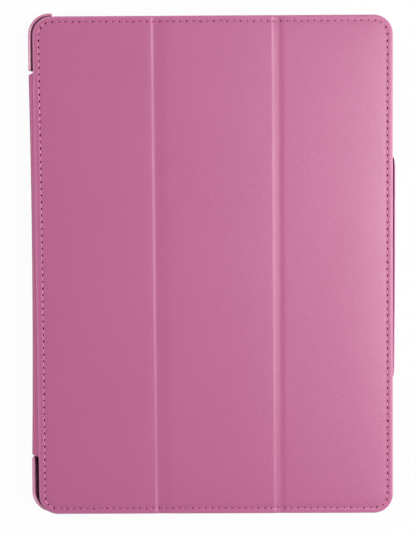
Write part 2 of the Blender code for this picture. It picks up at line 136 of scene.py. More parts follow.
class Bench:
    """Shader bench: one material's nodes and the links between them."""

    def __init__(self, name: str) -> None:
        """Starts a material that has only its surface shader.

        Args:
            name: The material's name.
        """
        self.material = bpy.data.materials.new(name)
        self.material.use_nodes = True
        self.tree = self.material.node_tree
        self.tree.nodes.clear()
        output = self.tree.nodes.new("ShaderNodeOutputMaterial")
        self.shader = self.tree.nodes.new("ShaderNodeBsdfPrincipled")
        self.tree.links.new(self.shader.outputs["BSDF"], output.inputs["Surface"])
        self.place = self.tree.nodes.new("ShaderNodeTexCoord").outputs["Object"]

    def set(self, **values: float | Sequence[float]) -> None:
        """Sets sockets of the shader, named with underscores for spaces."""
        for name, value in values.items():
            self.shader.inputs[name.replace("_", " ")].default_value = value

    def link(self, source: bpy.types.NodeSocket, name: str) -> None:
        """Links a socket to one of the shader's inputs."""
        self.tree.links.new(source, self.shader.inputs[name])

    def noise(self, size: float, detail: float = 3.0) -> bpy.types.NodeSocket:
        """Noise whose patches are about a size across.

        Args:
            size: Width of a patch.
            detail: Octaves of finer noise.

        Returns:
            The noise's value.
        """
        node = self.tree.nodes.new("ShaderNodeTexNoise")
        node.inputs["Scale"].default_value = 1.0 / size
        node.inputs["Detail"].default_value = detail
        self.tree.links.new(self.place, node.inputs["Vector"])
        return node.outputs["Fac"]

    def cells(self, size: float) -> bpy.types.NodeSocket:
        """Rounded cells about a size across, as in a pressed grain.

        Args:
            size: Width of a cell.

        Returns:
            The distance from each cell's middle.
        """
        node = self.tree.nodes.new("ShaderNodeTexVoronoi")
        node.feature = "SMOOTH_F1"
        node.inputs["Scale"].default_value = 1.0 / size
        self.tree.links.new(self.place, node.inputs["Vector"])
        return node.outputs["Distance"]

    def mark(self, name: str) -> bpy.types.NodeSocket:
        """Value that a mesh carries at its points."""
        node = self.tree.nodes.new("ShaderNodeAttribute")
        node.attribute_name = name
        return node.outputs["Fac"]

    def spread(self, source: bpy.types.NodeSocket, low: float, high: float) -> bpy.types.NodeSocket:
        """Maps a value from 0 to 1 onto a range.

        Args:
            source: The value.
            low, high: Ends of the range.

        Returns:
            The mapped value.
        """
        node = self.tree.nodes.new("ShaderNodeMapRange")
        node.inputs["To Min"].default_value = low
        node.inputs["To Max"].default_value = high
        self.tree.links.new(source, node.inputs["Value"])
        return node.outputs["Result"]

    def mix(
        self,
        factor: bpy.types.NodeSocket,
        first: Colour | bpy.types.NodeSocket,
        second: Colour,
    ) -> bpy.types.NodeSocket:
        """Mixes two colours by a factor that changes over the surface.

        Args:
            factor: Share of the second colour.
            first: A colour, or the socket of an earlier mix.
            second: A colour.

        Returns:
            The mixed colour.
        """
        node = self.tree.nodes.new("ShaderNodeMix")
        node.data_type = "RGBA"
        self.tree.links.new(factor, node.inputs["Factor"])
        if isinstance(first, bpy.types.NodeSocket):
            self.tree.links.new(first, node.inputs[MIX_FIRST])
        else:
            node.inputs[MIX_FIRST].default_value = (*first, 1.0)
        node.inputs[MIX_SECOND].default_value = (*second, 1.0)
        return node.outputs[MIX_RESULT]

    def bump(
        self,
        height: bpy.types.NodeSocket,
        depth: float,
        strength: float,
        over: bpy.types.NodeSocket | None = None,
    ) -> bpy.types.NodeSocket:
        """Bump of a depth, laid over an earlier one.

        Args:
            height: Height from 0 to 1.
            depth: Real depth of that height.
            strength: Share of the bump that is used.
            over: Normal of the bump under it.

        Returns:
            The bumped normal.
        """
        node = self.tree.nodes.new("ShaderNodeBump")
        node.inputs["Distance"].default_value = depth
        node.inputs["Strength"].default_value = strength
        self.tree.links.new(height, node.inputs["Height"])
        if over is not None:
            self.tree.links.new(over, node.inputs["Normal"])
        return node.outputs["Normal"]


@dataclass(frozen=True)
class Leatherette:
    """Smooth pink leatherette: a fine specked grain, paler on rubbed edges, with painted highlight on the
    folds' crisp edges near their ends and painted shade along the fold creases.
    """

    colour: Colour = srgb(177, 85, 133)
    mottle: Colour = srgb(172, 79, 127)
    # Paler tint for the worn edge and for the painted highlight on the folds' crisp edges.
    rubbed: Colour = srgb(196, 114, 156)
    # Darker tint for random specks and for the painted shade along the fold creases.
    creased: Colour = srgb(156, 66, 108)
    grain_size: float = 0.9 * MM
    grain_depth: float = 0.03 * MM
    crinkle_size: float = 2.6 * MM
    crinkle_depth: float = 0.07 * MM
    speck_size: float = 0.8 * MM
    cloud_size: float = 38 * MM
    pore_size: float = 0.35 * MM
    gloss_patch: float = 6 * MM
    roughness: tuple[float, float] = (0.34, 0.43)

    def material(self) -> bpy.types.Material:
        """Builds the material.

        Returns:
            The material.
        """
        bench = Bench("cover_leatherette")
        clouds = bench.spread(bench.noise(self.cloud_size), -0.2, 1.2)
        colour = bench.mix(clouds, self.colour, self.mottle)
        specks = bench.spread(bench.noise(self.speck_size, 2.0), -0.2, 0.55)
        colour = bench.mix(specks, colour, self.creased)
        # Paler where the edge is worn, and painted highlight on the folds' crisp edges near their ends.
        colour = bench.mix(bench.spread(bench.mark("rub"), 0.0, 0.8), colour, self.rubbed)
        # Painted shade along the fold creases, and a flat share of it over the whole spine.
        colour = bench.mix(bench.spread(bench.mark("crease"), 0.0, 0.8), colour, self.creased)
        bench.link(colour, "Base Color")
        bench.link(bench.spread(bench.noise(self.gloss_patch), *self.roughness), "Roughness")
        pores = bench.bump(bench.noise(self.pore_size, 2.0), self.grain_depth, 0.35)
        grain = bench.bump(bench.cells(self.grain_size), self.grain_depth, 0.5, pores)
        bench.link(bench.bump(bench.noise(self.crinkle_size), self.crinkle_depth, 1.0, grain), "Normal")
        bench.set(Specular_IOR_Level=0.8)
        return bench.material


@dataclass(frozen=True)
class GlossPlastic:
    """Glossy moulded plastic with a faint flow in its colour and gloss."""

    colour: Colour = srgb(208, 128, 166)
    flow: Colour = srgb(202, 120, 160)
    flow_size: float = 45 * MM
    gloss_patch: float = 9 * MM
    roughness: tuple[float, float] = (0.20, 0.30)
    peel_size: float = 1.6 * MM
    peel_depth: float = 0.01 * MM
    glow_depth: float = 1.6 * MM

    def material(self) -> bpy.types.Material:
        """Builds the material.

        Returns:
            The material.
        """
        bench = Bench("tray_plastic")
        bench.link(bench.mix(bench.noise(self.flow_size), self.colour, self.flow), "Base Color")
        bench.link(bench.spread(bench.noise(self.gloss_patch), *self.roughness), "Roughness")
        bench.link(bench.bump(bench.noise(self.peel_size, 2.0), self.peel_depth, 0.3), "Normal")
        bench.set(IOR=1.49, Coat_Weight=1.0, Coat_Roughness=0.08)
        bench.set(Subsurface_Weight=0.25, Subsurface_Scale=self.glow_depth)
        bench.set(Subsurface_Radius=(1.0, 0.2, 0.45))
        return bench.material


@dataclass(frozen=True)
class Microfibre:
    """Black napped microfibre: short soft fibres brushed a little both ways."""

    colour: Colour = srgb(30, 27, 30)
    brushed: Colour = srgb(44, 41, 44)

    def material(self) -> bpy.types.Material:
        """Builds the material.

        Returns:
            The material.
        """
        bench = Bench("black_microfibre")
        nap = bench.spread(bench.noise(14 * MM), -0.3, 1.3)
        bench.link(bench.mix(nap, self.colour, self.brushed), "Base Color")
        bench.link(bench.bump(bench.noise(0.25 * MM, 2.0), 0.08 * MM, 0.6), "Normal")
        bench.set(Roughness=0.95, Specular_IOR_Level=0.2, Sheen_Weight=0.12, Sheen_Roughness=0.6)
        return bench.material


@dataclass(frozen=True)
class SewingThread:
    """Waxed pink thread, darker between its plies."""

    colour: Colour = srgb(228, 150, 188)
    shade: Colour = srgb(208, 124, 164)

    def material(self) -> bpy.types.Material:
        """Builds the material.

        Returns:
            The material.
        """
        bench = Bench("pink_thread")
        plies = bench.spread(bench.noise(0.3 * MM, 1.0), -0.4, 1.2)
        bench.link(bench.mix(plies, self.colour, self.shade), "Base Color")
        bench.link(bench.bump(bench.noise(0.15 * MM, 1.0), 0.03 * MM, 0.4), "Normal")
        bench.set(Roughness=0.5, Sheen_Weight=0.1)
        return bench.material


@dataclass(frozen=True)
class NeedleHoleShade:
    """Painted shade of a needle hole: its dark mouth as a dark colour."""

    colour: Colour = srgb(84, 2, 36)
    lip: Colour = srgb(104, 6, 48)

    def material(self) -> bpy.types.Material:
        """Builds the material.

        Returns:
            The material.
        """
        bench = Bench("needle_holes")
        bench.link(bench.mix(bench.noise(0.4 * MM), self.colour, self.lip), "Base Color")
        bench.set(Roughness=0.9, Specular_IOR_Level=0.0)
        return bench.material


@dataclass(frozen=True)
class GreyBoard:
    """Grey pulp board with flecks."""

    colour: Colour = srgb(160, 155, 147)
    fleck: Colour = srgb(128, 122, 115)

    def material(self) -> bpy.types.Material:
        """Builds the material.

        Returns:
            The material.
        """
        bench = Bench("grey_pulp_board")
        flecks = bench.spread(bench.noise(0.8 * MM, 4.0), -0.6, 1.2)
        bench.link(bench.mix(flecks, self.colour, self.fleck), "Base Color")
        bench.link(bench.bump(bench.noise(0.5 * MM), 0.05 * MM, 0.4), "Normal")
        bench.set(Roughness=0.9)
        return bench.material


@dataclass(frozen=True)
class NickelPlate:
    """Nickel plating with fine barrel scuffs."""

    colour: Colour = srgb(214, 210, 204)
    scuffed: Colour = srgb(186, 182, 177)

    def material(self) -> bpy.types.Material:
        """Builds the material.

        Returns:
            The material.
        """
        bench = Bench("nickel_plate")
        bench.link(bench.mix(bench.noise(2 * MM), self.colour, self.scuffed), "Base Color")
        bench.link(bench.spread(bench.noise(0.7 * MM), 0.18, 0.42), "Roughness")
        bench.set(Metallic=1.0)
        return bench.material


@dataclass
class Shape:
    """Closed mesh before it becomes an object: points, faces, and values carried at the points."""

    points: np.ndarray
    faces: list[tuple[int, ...]]
    marks: dict[str, np.ndarray] = field(default_factory=dict)

    def turned_outwards(self) -> "Shape":
        """The same mesh with its faces turned outwards."""
        fans = [(face[0], a, b) for face in self.faces for a, b in zip(face[1:], face[2:])]
        first, second, third = (self.points[corner] for corner in np.array(fans).T)
        if np.einsum("ij,ij->", first, np.cross(second, third)) < 0:
            self.faces = [face[::-1] for face in self.faces]
        return self


def joined(shapes: Sequence[Shape]) -> Shape:
    """One mesh of several.

    Args:
        shapes: Meshes that carry the same marks.

    Returns:
        The joined mesh.
    """
    faces: list[tuple[int, ...]] = []
    start = 0
    for shape in shapes:
        faces += [tuple(i + start for i in face) for face in shape.faces]
        start += len(shape.points)
    marks = {name: np.concatenate([s.marks[name] for s in shapes]) for name in shapes[0].marks}
    return Shape(np.concatenate([s.points for s in shapes]), faces, marks)


def slab(face: np.ndarray, back: np.ndarray, marks: dict[str, np.ndarray] | None = None) -> Shape:
    """Closed sheet between two grids of points.

    Args:
        face: Points of the front, rows by columns by 3.
        back: Points of the back, in the same order.
        marks: Values at the front's points, used for the back too.

    Returns:
        The sheet, with walls round its rim.
    """
    rows, columns = face.shape[:2]
    count = rows * columns
    index = np.arange(count).reshape(rows, columns)
    corners = (index[:-1, :-1], index[1:, :-1], index[1:, 1:], index[:-1, 1:])
    front = np.stack(corners, -1).reshape(-1, 4)
    rim = np.concatenate([index[:, 0], index[-1, 1:], index[-2::-1, -1], index[0, -2:0:-1]])
    ahead = np.roll(rim, -1)
    walls = np.stack([rim + count, ahead + count, ahead, rim], -1)
    faces = np.concatenate([front, front[:, ::-1] + count, walls])
    points = np.concatenate([face.reshape(-1, 3), back.reshape(-1, 3)])
    carried = {name: np.tile(value.reshape(-1), 2) for name, value in (marks or {}).items()}
    return Shape(points, [tuple(map(int, f)) for f in faces], carried).turned_outwards()


def loft(rings: np.ndarray) -> Shape:
    """Closed solid through rings of points, with a flat face at each end.

    Args:
        rings: Points, rings by places by 3.

    Returns:
        The solid.
    """
    count, places = rings.shape[:2]
    index = np.arange(count * places).reshape(count, places)
    ahead = np.roll(index, -1, axis=1)
    skin = np.stack([index[:-1], ahead[:-1], ahead[1:], index[1:]], -1).reshape(-1, 4)
    faces = [tuple(map(int, face)) for face in skin]
    faces += [tuple(map(int, index[0][::-1])), tuple(map(int, index[-1]))]
    return Shape(rings.reshape(-1, 3), faces).turned_outwards()


def tube(path: np.ndarray, radii: np.ndarray, sides: int) -> Shape:
    """Closed tube along a short path that stays near level.

    Args:
        path: Points of its middle line.
        radii: Radius at each point.
        sides: Points round the tube.

    Returns:
        The tube, with flat ends.
    """
    along = np.gradient(path, axis=0)
    along /= np.linalg.norm(along, axis=1)[:, None]
    across = np.cross(np.array([0.0, 0.0, 1.0]), along)
    across /= np.linalg.norm(across, axis=1)[:, None]
    up = np.cross(along, across)
    turn = np.linspace(0.0, 2.0 * math.pi, sides, endpoint=False)
    ring = np.cos(turn)[None, :, None] * across[:, None] + np.sin(turn)[None, :, None] * up[:, None]
    return loft(path[:, None] + radii[:, None, None] * ring)


@dataclass
class Workshop:
    """Makes dressed objects from shapes and hangs the rigid ones on the frame's bodies."""

    smooth_angle: float = math.radians(40)
    materials: dict[Finish, bpy.types.Material] = field(init=False)

    def __post_init__(self) -> None:
        """Builds each finish once."""
        self.materials = {
            Finish.LEATHERETTE: Leatherette().material(),
            Finish.PLASTIC: GlossPlastic().material(),
            Finish.LINING: Microfibre().material(),
            Finish.BOARD: GreyBoard().material(),
            Finish.MAGNET: NickelPlate().material(),
            Finish.THREAD: SewingThread().material(),
            Finish.HOLE_SHADE: NeedleHoleShade().material(),
        }

    def piece(self, name: str, shape: Shape, finish: Finish) -> bpy.types.Object:
        """Makes one object.

        Args:
            name: The piece's name.
            shape: Its mesh.
            finish: What it is made of.

        Returns:
            The object, not yet on a body.
        """
        mesh = bpy.data.meshes.new(name)
        mesh.from_pydata(shape.points.tolist(), [], shape.faces)
        for mark, values in shape.marks.items():
            layer = mesh.attributes.new(mark, "FLOAT", "POINT")
            layer.data.foreach_set("value", values.astype(np.float32))
        mesh.polygons.foreach_set("use_smooth", [True] * len(mesh.polygons))
        mesh.set_sharp_from_angle(angle=self.smooth_angle)
        mesh.materials.append(self.materials[finish])
        made = bpy.data.objects.new(name, mesh)
        bpy.context.scene.collection.objects.link(made)
        LOG.info("%s: %d points of %s", name, len(shape.points), finish.name.lower())
        return made

    def fixed(self, name: str, shape: Shape, finish: Finish, body: Body, *nodes: str) -> bpy.types.Object:
        """Makes an object that rides on one body.

        Args:
            name: The piece's name.
            shape: Its mesh.
            finish: What it is made of.
            body: The body that carries it.
            nodes: CAD nodes that it stands for.

        Returns:
            The object.
        """
        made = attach(self.piece(name, shape, finish), body.value)
        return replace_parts(made, *nodes) if nodes else made

    def bending(
        self,
        name: str,
        shape: Shape,
        finish: Finish,
        bend: "Bend",
        *nodes: str,
    ) -> bpy.types.Object:
        """Makes an object for a strip between two bodies, left where it is drawn on no body.

        Args:
            name: The piece's name.
            shape: Its mesh.
            finish: What it is made of.
            bend: The bodies, and where the bend starts and ends; not used.
            nodes: CAD nodes that it stands for.

        Returns:
            The object.
        """
        made = self.piece(name, shape, finish)
        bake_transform(made)
        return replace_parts(made, *nodes) if nodes else made

    def carve(self, made: bpy.types.Object, cutters: Sequence[Shape]) -> None:
        """Cuts closed shapes out of a piece.

        Args:
            made: The piece.
            cutters: Shapes of what is cut away.
        """
        tools = []
        for number, shape in enumerate(cutters):
            mesh = bpy.data.meshes.new(f"cutter_{number}")
            mesh.from_pydata(shape.points.tolist(), [], shape.faces)
            tool = bpy.data.objects.new(f"cutter_{number}", mesh)
            bpy.context.scene.collection.objects.link(tool)
            cut = made.modifiers.new(tool.name, "BOOLEAN")
            cut.object = tool
            cut.operation = "DIFFERENCE"
            cut.solver = "EXACT"
            tools.append(tool)
        graph = bpy.context.evaluated_depsgraph_get()
        carved = bpy.data.meshes.new_from_object(made.evaluated_get(graph))
        made.modifiers.clear()
        made.data = carved
        carved.polygons.foreach_set("use_smooth", [True] * len(carved.polygons))
        carved.set_sharp_from_angle(angle=self.smooth_angle)
        for tool in tools:
            bpy.data.objects.remove(tool)

    def dress(self, node: bpy.types.Object, finish: Finish) -> None:
        """Gives a CAD node that stays its material.

        Args:
            node: The node's object.
            finish: What it is made of.
        """
        node.data.materials.clear()
        node.data.materials.append(self.materials[finish])
        LOG.info("%s: kept, in %s", node.name, finish.name.lower())


@dataclass(frozen=True)
class Bend:
    """Where a strip turns from one body to the next."""

    first: Body
    second: Body
    start: tuple[float, float, float]
    end: tuple[float, float, float]


@dataclass(frozen=True)
class Fold:
    """Groove between two panels: a crisp fall on the spine's side, then a slow rise."""

    x: float
    crisp: float = 0.16 * MM
    crisp_span: tuple[float, float] = (-2.0 * MM, -0.5 * MM)
    soft: float = 0.12 * MM
    soft_span: tuple[float, float] = (-4.0 * MM, 0.6 * MM)
    rise_span: tuple[float, float] = (0.2 * MM, 6.8 * MM)
    settle: float = 0.02 * MM
    settle_width: float = 50 * MM
    upper_gain: float = 0.5
    upper_reach: float = 20 * MM
    lower_gain: float = 0.3
    lower_reach: float = 30 * MM
    lean: float = 0.1 * MM
    lean_width: float = 18 * MM
    # Strength of the painted highlight near each end of the crisp edge, and its width.
    upper_highlight: float = 0.75
    lower_highlight: float = 0.5
    highlight_width: float = 0.55 * MM
    end_margin: float = 3 * MM

    def drop(self, x: np.ndarray, from_top: np.ndarray, from_bottom: np.ndarray) -> np.ndarray:
        """Depth of the groove below the panels.

        Args:
            x: Places across the cover.
            from_top, from_bottom: Distances from the cover's two ends, near which the groove changes.

        Returns:
            Depths, with the soft lean of both panels towards the groove.
        """
        off = x - self.x
        steep = 1.0 + self.upper_gain * (1.0 - ease(from_top, self.end_margin, self.upper_reach))
        steep = steep + self.lower_gain * (1.0 - ease(from_bottom, self.end_margin, self.lower_reach))
        crisp = self.crisp * steep
        middle = sum(self.crisp_span) / 2
        half = self.crisp_span[1] - middle
        fall = crisp * ease((off - middle) * np.sqrt(steep), -half, half)
        fall = fall + self.soft * ease(off, *self.soft_span)
        rise = (crisp + self.soft - self.settle) * ease(off, *self.rise_span)
        rise = rise + self.settle * ease(off, self.rise_span[1], self.settle_width)
        near = 1.0 - np.clip(np.abs(off) / self.lean_width, 0.0, 1.0)
        return fall - rise + self.lean * near * near

    def wear(self, x: np.ndarray, from_top: np.ndarray, from_bottom: np.ndarray) -> np.ndarray:
        """Painted highlight on the groove's crisp edge, strongest at its two ends.

        Args:
            x: Places across the cover.
            from_top, from_bottom: Distances from the cover's two ends.

        Returns:
            Shares of the painted highlight.
        """
        edge = sum(self.crisp_span) / 2
        line = np.exp(-(((x - self.x - edge) / self.highlight_width) ** 2))
        upper = self.upper_highlight * (1.0 - ease(from_top, self.end_margin, 2 * self.upper_reach))
        lower = self.lower_highlight * (1.0 - ease(from_bottom, self.end_margin, self.lower_reach))
        return line * np.maximum(upper, lower)


@dataclass(frozen=True)
class CoverShape:
    """Plan and relief of the closed cover, drawn square and laid on the tray a little askew."""

    left: float
    right: float
    half_length: float
    top: float
    skin_bottom: float
    lining_bottom: float
    board_top: float
    folds: tuple[Fold, Fold]
    corner_radius: float = 9.5 * MM
    roll: float = 1.0 * MM
    under_roll: float = 0.35 * MM
    seam_inset: float = 2.85 * MM
    seam_bow: float = 0.45 * MM
    seam_drop: float = 0.32 * MM
    droop: float = 0.22 * MM
    droop_width: float = 26 * MM
    seam_groove: float = 0.12 * MM
    seam_groove_widths: tuple[float, float] = (0.5 * MM, 1.2 * MM)
    crown_width: float = 15 * MM
    spine_roll: float = 0.3 * MM
    spine_half: float = 94 * MM
    ripple: float = 0.02 * MM
    pocket_margin: float = 2.1 * MM
    pocket_fold_margin: float = 3.0 * MM
    pocket_slope: float = 0.3 * MM
    glue: float = 0.12 * MM
    turn: float = math.radians(0.322)
    rack: float = 0.0027
    shift: tuple[float, float] = (0.04 * MM, -0.945 * MM)

    @classmethod
    def from_frame(cls, joints: Sequence[dict]) -> "CoverShape":
        """Takes the cover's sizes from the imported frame.

        Args:
            joints: The frame's joints.

        Returns:
            The cover's shape.
        """
        low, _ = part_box("inner_panel_skin")
        _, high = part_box("outer_panel_skin")
        at = {joint["name"]: joint["pos_m"][0] for joint in joints}
        side_trim, end_trim, proud = 0.15 * MM, 0.27 * MM, 0.2 * MM
        return cls(
            left=low.x + side_trim,
            right=high.x - side_trim,
            half_length=high.y - end_trim,
            top=high.z + proud,
            skin_bottom=low.z,
            lining_bottom=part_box("inner_panel_lining")[0].z,
            board_top=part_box("inner_panel_board")[1].z,
            folds=(
                Fold(at["inner_fold"]),
                Fold(
                    at["outer_fold"],
                    crisp=0.2 * MM,
                    soft=0.25 * MM,
                    soft_span=(-2.0 * MM, 2.0 * MM),
                    rise_span=(0.8 * MM, 4.2 * MM),
                    settle=0.17 * MM,
                    crisp_span=(-2.4 * MM, -0.9 * MM),
                    upper_gain=0.35,
                    lower_gain=-0.1,
                    lower_reach=90 * MM,
                    lower_highlight=0.25,
                ),
            ),
        )

    def inside(self, x: np.ndarray, y: np.ndarray) -> np.ndarray:
        """Distance in from the cover's rounded outline.

        Args:
            x, y: Places on the cover, drawn square.

        Returns:
            The distances.
        """
        middle = (self.left + self.right) / 2
        corner_x = np.abs(x - middle) - ((self.right - self.left) / 2 - self.corner_radius)
        corner_y = np.abs(y) - (self.half_length - self.corner_radius)
        beyond = np.hypot(np.maximum(corner_x, 0.0), np.maximum(corner_y, 0.0))
        within = np.minimum(np.maximum(corner_x, corner_y), 0.0)
        return self.corner_radius - beyond - within

    def bow_of_seam(self, x: np.ndarray, y: np.ndarray) -> np.ndarray:
        """How far the seam bows in from a straight line by the spine."""
        return self.seam_bow * (1.0 - (y / self.half_length) ** 2) * ease(-x, 0.0, -self.left)

    def past_seam(self, x: np.ndarray, y: np.ndarray) -> np.ndarray:
        """Distance in from the seam, less than nothing in the border."""
        return self.inside(x - self.bow_of_seam(x, y), y) - self.seam_inset

    def edge_roll(self, x: np.ndarray, y: np.ndarray) -> np.ndarray:
        """Radius of the turned edge, small where the spine joins it.

        Args:
            x, y: Places on the cover, drawn square.

        Returns:
            The radii.
        """
        by_spine = 1.0 - ease(x - self.left, 1 * MM, 4 * MM)
        by_spine = by_spine * (1.0 - ease(np.abs(y), self.spine_half, self.spine_half + 1.5 * MM))
        return self.roll + (self.spine_roll - self.roll) * by_spine

    def surface(self, x: np.ndarray, y: np.ndarray) -> np.ndarray:
        """Height of the skin's face.

        Args:
            x, y: Places on the cover, drawn square.

        Returns:
            The heights.
        """
        inset = np.maximum(self.inside(x, y), 0.0)
        past = self.past_seam(x, y)
        crown = 1.0 - np.clip(past / self.crown_width, 0.0, 1.0)
        drop = self.seam_drop * crown * crown
        free = 1.0 - np.clip((self.right - self.seam_inset - x) / self.droop_width, 0.0, 1.0)
        drop = drop + self.droop * free * free
        width = np.where(past < 0.0, *self.seam_groove_widths)
        drop = drop + self.seam_groove * np.exp(-((past / width) ** 2))
        drop = drop + quarter_round(inset, self.edge_roll(x, y))
        for fold in self.folds:
            drop = drop + fold.drop(x, self.half_length - y, self.half_length + y)
        wave = np.sin(x / (19 * MM) + 0.7) * np.sin(y / (27 * MM) - 0.4)
        wave = wave + 0.6 * np.sin(x / (11 * MM) + y / (34 * MM) + 1.9)
        return self.top - drop + self.ripple * wave * ease(inset, 2 * MM, 12 * MM)

    def underside(self, x: np.ndarray, y: np.ndarray) -> np.ndarray:
        """Height of the skin's back: low on the turned-in edges and the folds, high over the boards.

        Args:
            x, y: Places on the cover, drawn square.

        Returns:
            The heights.
        """
        inset = np.maximum(self.inside(x, y), 0.0)
        pocket = ease(inset, self.pocket_margin, self.pocket_margin + self.pocket_slope)
        clear = self.pocket_fold_margin
        for fold in self.folds:
            pocket = pocket * ease(np.abs(x - fold.x), clear, clear + self.pocket_slope)
        over_board = self.board_top + self.glue - self.skin_bottom
        return self.skin_bottom + over_board * pocket + quarter_round(inset, self.under_roll)

    def askew(self, points: np.ndarray) -> np.ndarray:
        """Lays square-drawn points on the tray as the cover really lies.

        Args:
            points: Points whose last axis is x, y, z.

        Returns:
            The turned and shifted points.
        """
        cos, sin = math.cos(self.turn), math.sin(self.turn)
        x, y, z = points[..., 0], points[..., 1], points[..., 2]
        moved = (x * cos - y * sin + self.shift[0], x * (sin - self.rack) + y * cos + self.shift[1], z)
        return np.stack(moved, -1)

    def fold_bend(self, fold: Fold, first: Body, second: Body, half_width: float) -> Bend:
        """Bend along a fold as the cover really lies.

        Args:
            fold: The fold.
            first, second: Bodies on its two sides.
            half_width: Half the width of the bend.

        Returns:
            The bend.
        """
        ends = [[fold.x - half_width, 0.0, self.top], [fold.x + half_width, 0.0, self.top]]
        start, end = self.askew(np.array(ends)).tolist()
        return Bend(first, second, tuple(start), tuple(end))


class Zone(Enum):
    """Strips of the cover from the spine outwards: three panels and the two folds between them."""

    INNER = "inner"
    INNER_FOLD = "inner_fold"
    MIDDLE = "middle"
    OUTER_FOLD = "outer_fold"
    OUTER = "outer"


@dataclass
class Cover:
    """The three-panel cover: leatherette over boards, black lining, and a seam all round."""

    shape: CoverShape
    workshop: Workshop
    fold_zone: float = 9 * MM
    bend_half_width: float = 3.2 * MM
    coarse_step: float = 2.6 * MM
    lining_inset: float = 0.4 * MM
    lining_roll: float = 0.22 * MM
    lining_crease: float = 0.12 * MM
    lining_crease_width: float = 1.1 * MM
    lining_gap: float = 0.02 * MM
    least_skin: float = 0.3 * MM
    # Width and share of the painted shade along the folds.
    crease_shade_width: float = 1.6 * MM
    crease_shade_share: float = 0.3
    rub_width: float = 0.9 * MM
    stitch_pitch: float = 3.3 * MM
    thread_radius: float = 0.19 * MM
    stitch_swing: float = 0.6 * MM
    # Sizes of the dark lenses of painted shade at the needle holes, and of the painted shade slits between
    # them.
    upright_hole: tuple[float, float] = (0.46 * MM, 0.8 * MM)
    level_hole: tuple[float, float] = (0.5 * MM, 0.46 * MM)
    slit: tuple[float, float] = (0.45 * MM, 0.07 * MM)
    hole_stray: float = 0.07 * MM
    hole_unevenness: float = 0.12
    hole_lift: float = 0.015 * MM
    hole_crown: float = 0.03 * MM
    hole_depth: float = 0.2 * MM
    face_thread_sides: int = 8
    under_thread_sides: int = 6

    def __post_init__(self) -> None:
        """Works out the steps in from the edge at which the meshes have points."""
        turn = np.radians(np.arange(0.0, 91.0, 15.0))
        roll = self.shape.roll * (1.0 - np.cos(turn))
        past = np.array([1.3, 1.6, 1.9, 2.15, 2.4, 2.6, 2.85, 3.1, 3.4, 3.8, 4.3, 5.0, 6.2, 8.0]) * MM
        self.edge_steps = np.concatenate([roll, past])
        inner, outer = self.shape.folds
        self.limits = {
            Zone.INNER: (self.shape.left, inner.x - self.fold_zone),
            Zone.INNER_FOLD: (inner.x - self.fold_zone, inner.x + self.fold_zone),
            Zone.MIDDLE: (inner.x + self.fold_zone, outer.x - self.fold_zone),
            Zone.OUTER_FOLD: (outer.x - self.fold_zone, outer.x + self.fold_zone),
            Zone.OUTER: (outer.x + self.fold_zone, self.shape.right),
        }
        self.bends = {
            Zone.INNER_FOLD: self.shape.fold_bend(inner, Body.INNER, Body.MIDDLE, self.bend_half_width),
            Zone.OUTER_FOLD: self.shape.fold_bend(outer, Body.MIDDLE, Body.OUTER, self.bend_half_width),
        }
        self.bodies = {Zone.INNER: Body.INNER, Zone.MIDDLE: Body.MIDDLE, Zone.OUTER: Body.OUTER}

    def build(self) -> None:
        """Builds the skin, the lining and the seam of every zone."""
        stitches = self.seam()
        for zone in Zone:
            node = f"{zone.value}_skin" if zone in self.bends else f"{zone.value}_panel_skin"
            self.add(f"cover_skin_{zone.value}", self.skin(zone), Finish.LEATHERETTE, zone, node)
            node = node.replace("_skin", "_lining")
            self.add(f"cover_lining_{zone.value}", self.lining(zone), Finish.LINING, zone, node)
            threads, holes = stitches[zone]
            sewn = self.seam_nodes(zone)
            self.add(f"cover_seam_{zone.value}", joined(threads), Finish.THREAD, zone, *sewn)
            # The needle holes' dark lenses are painted shade.
            self.add(f"cover_needle_holes_{zone.value}", joined(holes), Finish.HOLE_SHADE, zone)

    def add(self, name: str, shape: Shape, finish: Finish, zone: Zone, *nodes: str) -> None:
        """Makes one of the cover's pieces, rigid on a panel, or at a fold left where it is drawn on no
        body.

        Args:
            name: The piece's name.
            shape: Its mesh.
            finish: What it is made of.
            zone: The zone that it belongs to.
            nodes: CAD nodes that it stands for.
        """
        if zone in self.bends:
            self.workshop.bending(name, shape, finish, self.bends[zone], *nodes)
        else:
            self.workshop.fixed(name, shape, finish, self.bodies[zone], *nodes)

    def seam_nodes(self, zone: Zone) -> tuple[str, ...]:
        """CAD nodes that a zone's seam stands for.

        Args:
            zone: The zone.

        Returns:
            Their names.
        """
        if zone in self.bends:
            return ()
        if zone is Zone.MIDDLE:
            return ("middle_panel_top_stitching", "middle_panel_bottom_stitching")
        return (f"{zone.value}_panel_stitching",)

    def columns(self, zone: Zone, inset: float) -> np.ndarray:
        """Places across a zone at which its mesh has points.

        Args:
            zone: The zone.
            inset: How far the outline is drawn in.

        Returns:
            Sorted places across the cover.
        """
        low, high = self.limits[zone]
        if zone in self.bends:
            fine = np.arange(-2.4, 0.41, 0.2)
            coarse = [-9.0, -7.6, -6.4, -5.4, -4.6, -3.9, -3.3, -2.8, 0.8, 1.2, 1.7, 2.2, 2.7, 3.2]
            coarse += [3.8, 4.5, 5.2, 6.0, 6.8, 7.8, 9.0]
            return np.unique(np.concatenate([fine, coarse])) * MM + (low + high) / 2
        corner = self.shape.corner_radius - inset
        edge = np.append(self.edge_steps, [corner - 0.7 * MM, corner])
        if zone is Zone.INNER:
            start = low + inset + edge
            return np.append(start, self.evenly(start[-1], high)[1:])
        if zone is Zone.OUTER:
            end = (high - inset - edge)[::-1]
            return np.append(self.evenly(low, end[0])[:-1], end)
        return self.evenly(low, high)

    def evenly(self, low: float, high: float) -> np.ndarray:
        """Places at even steps, about the coarse step apart."""
        return np.linspace(low, high, 2 + int((high - low) / self.coarse_step))

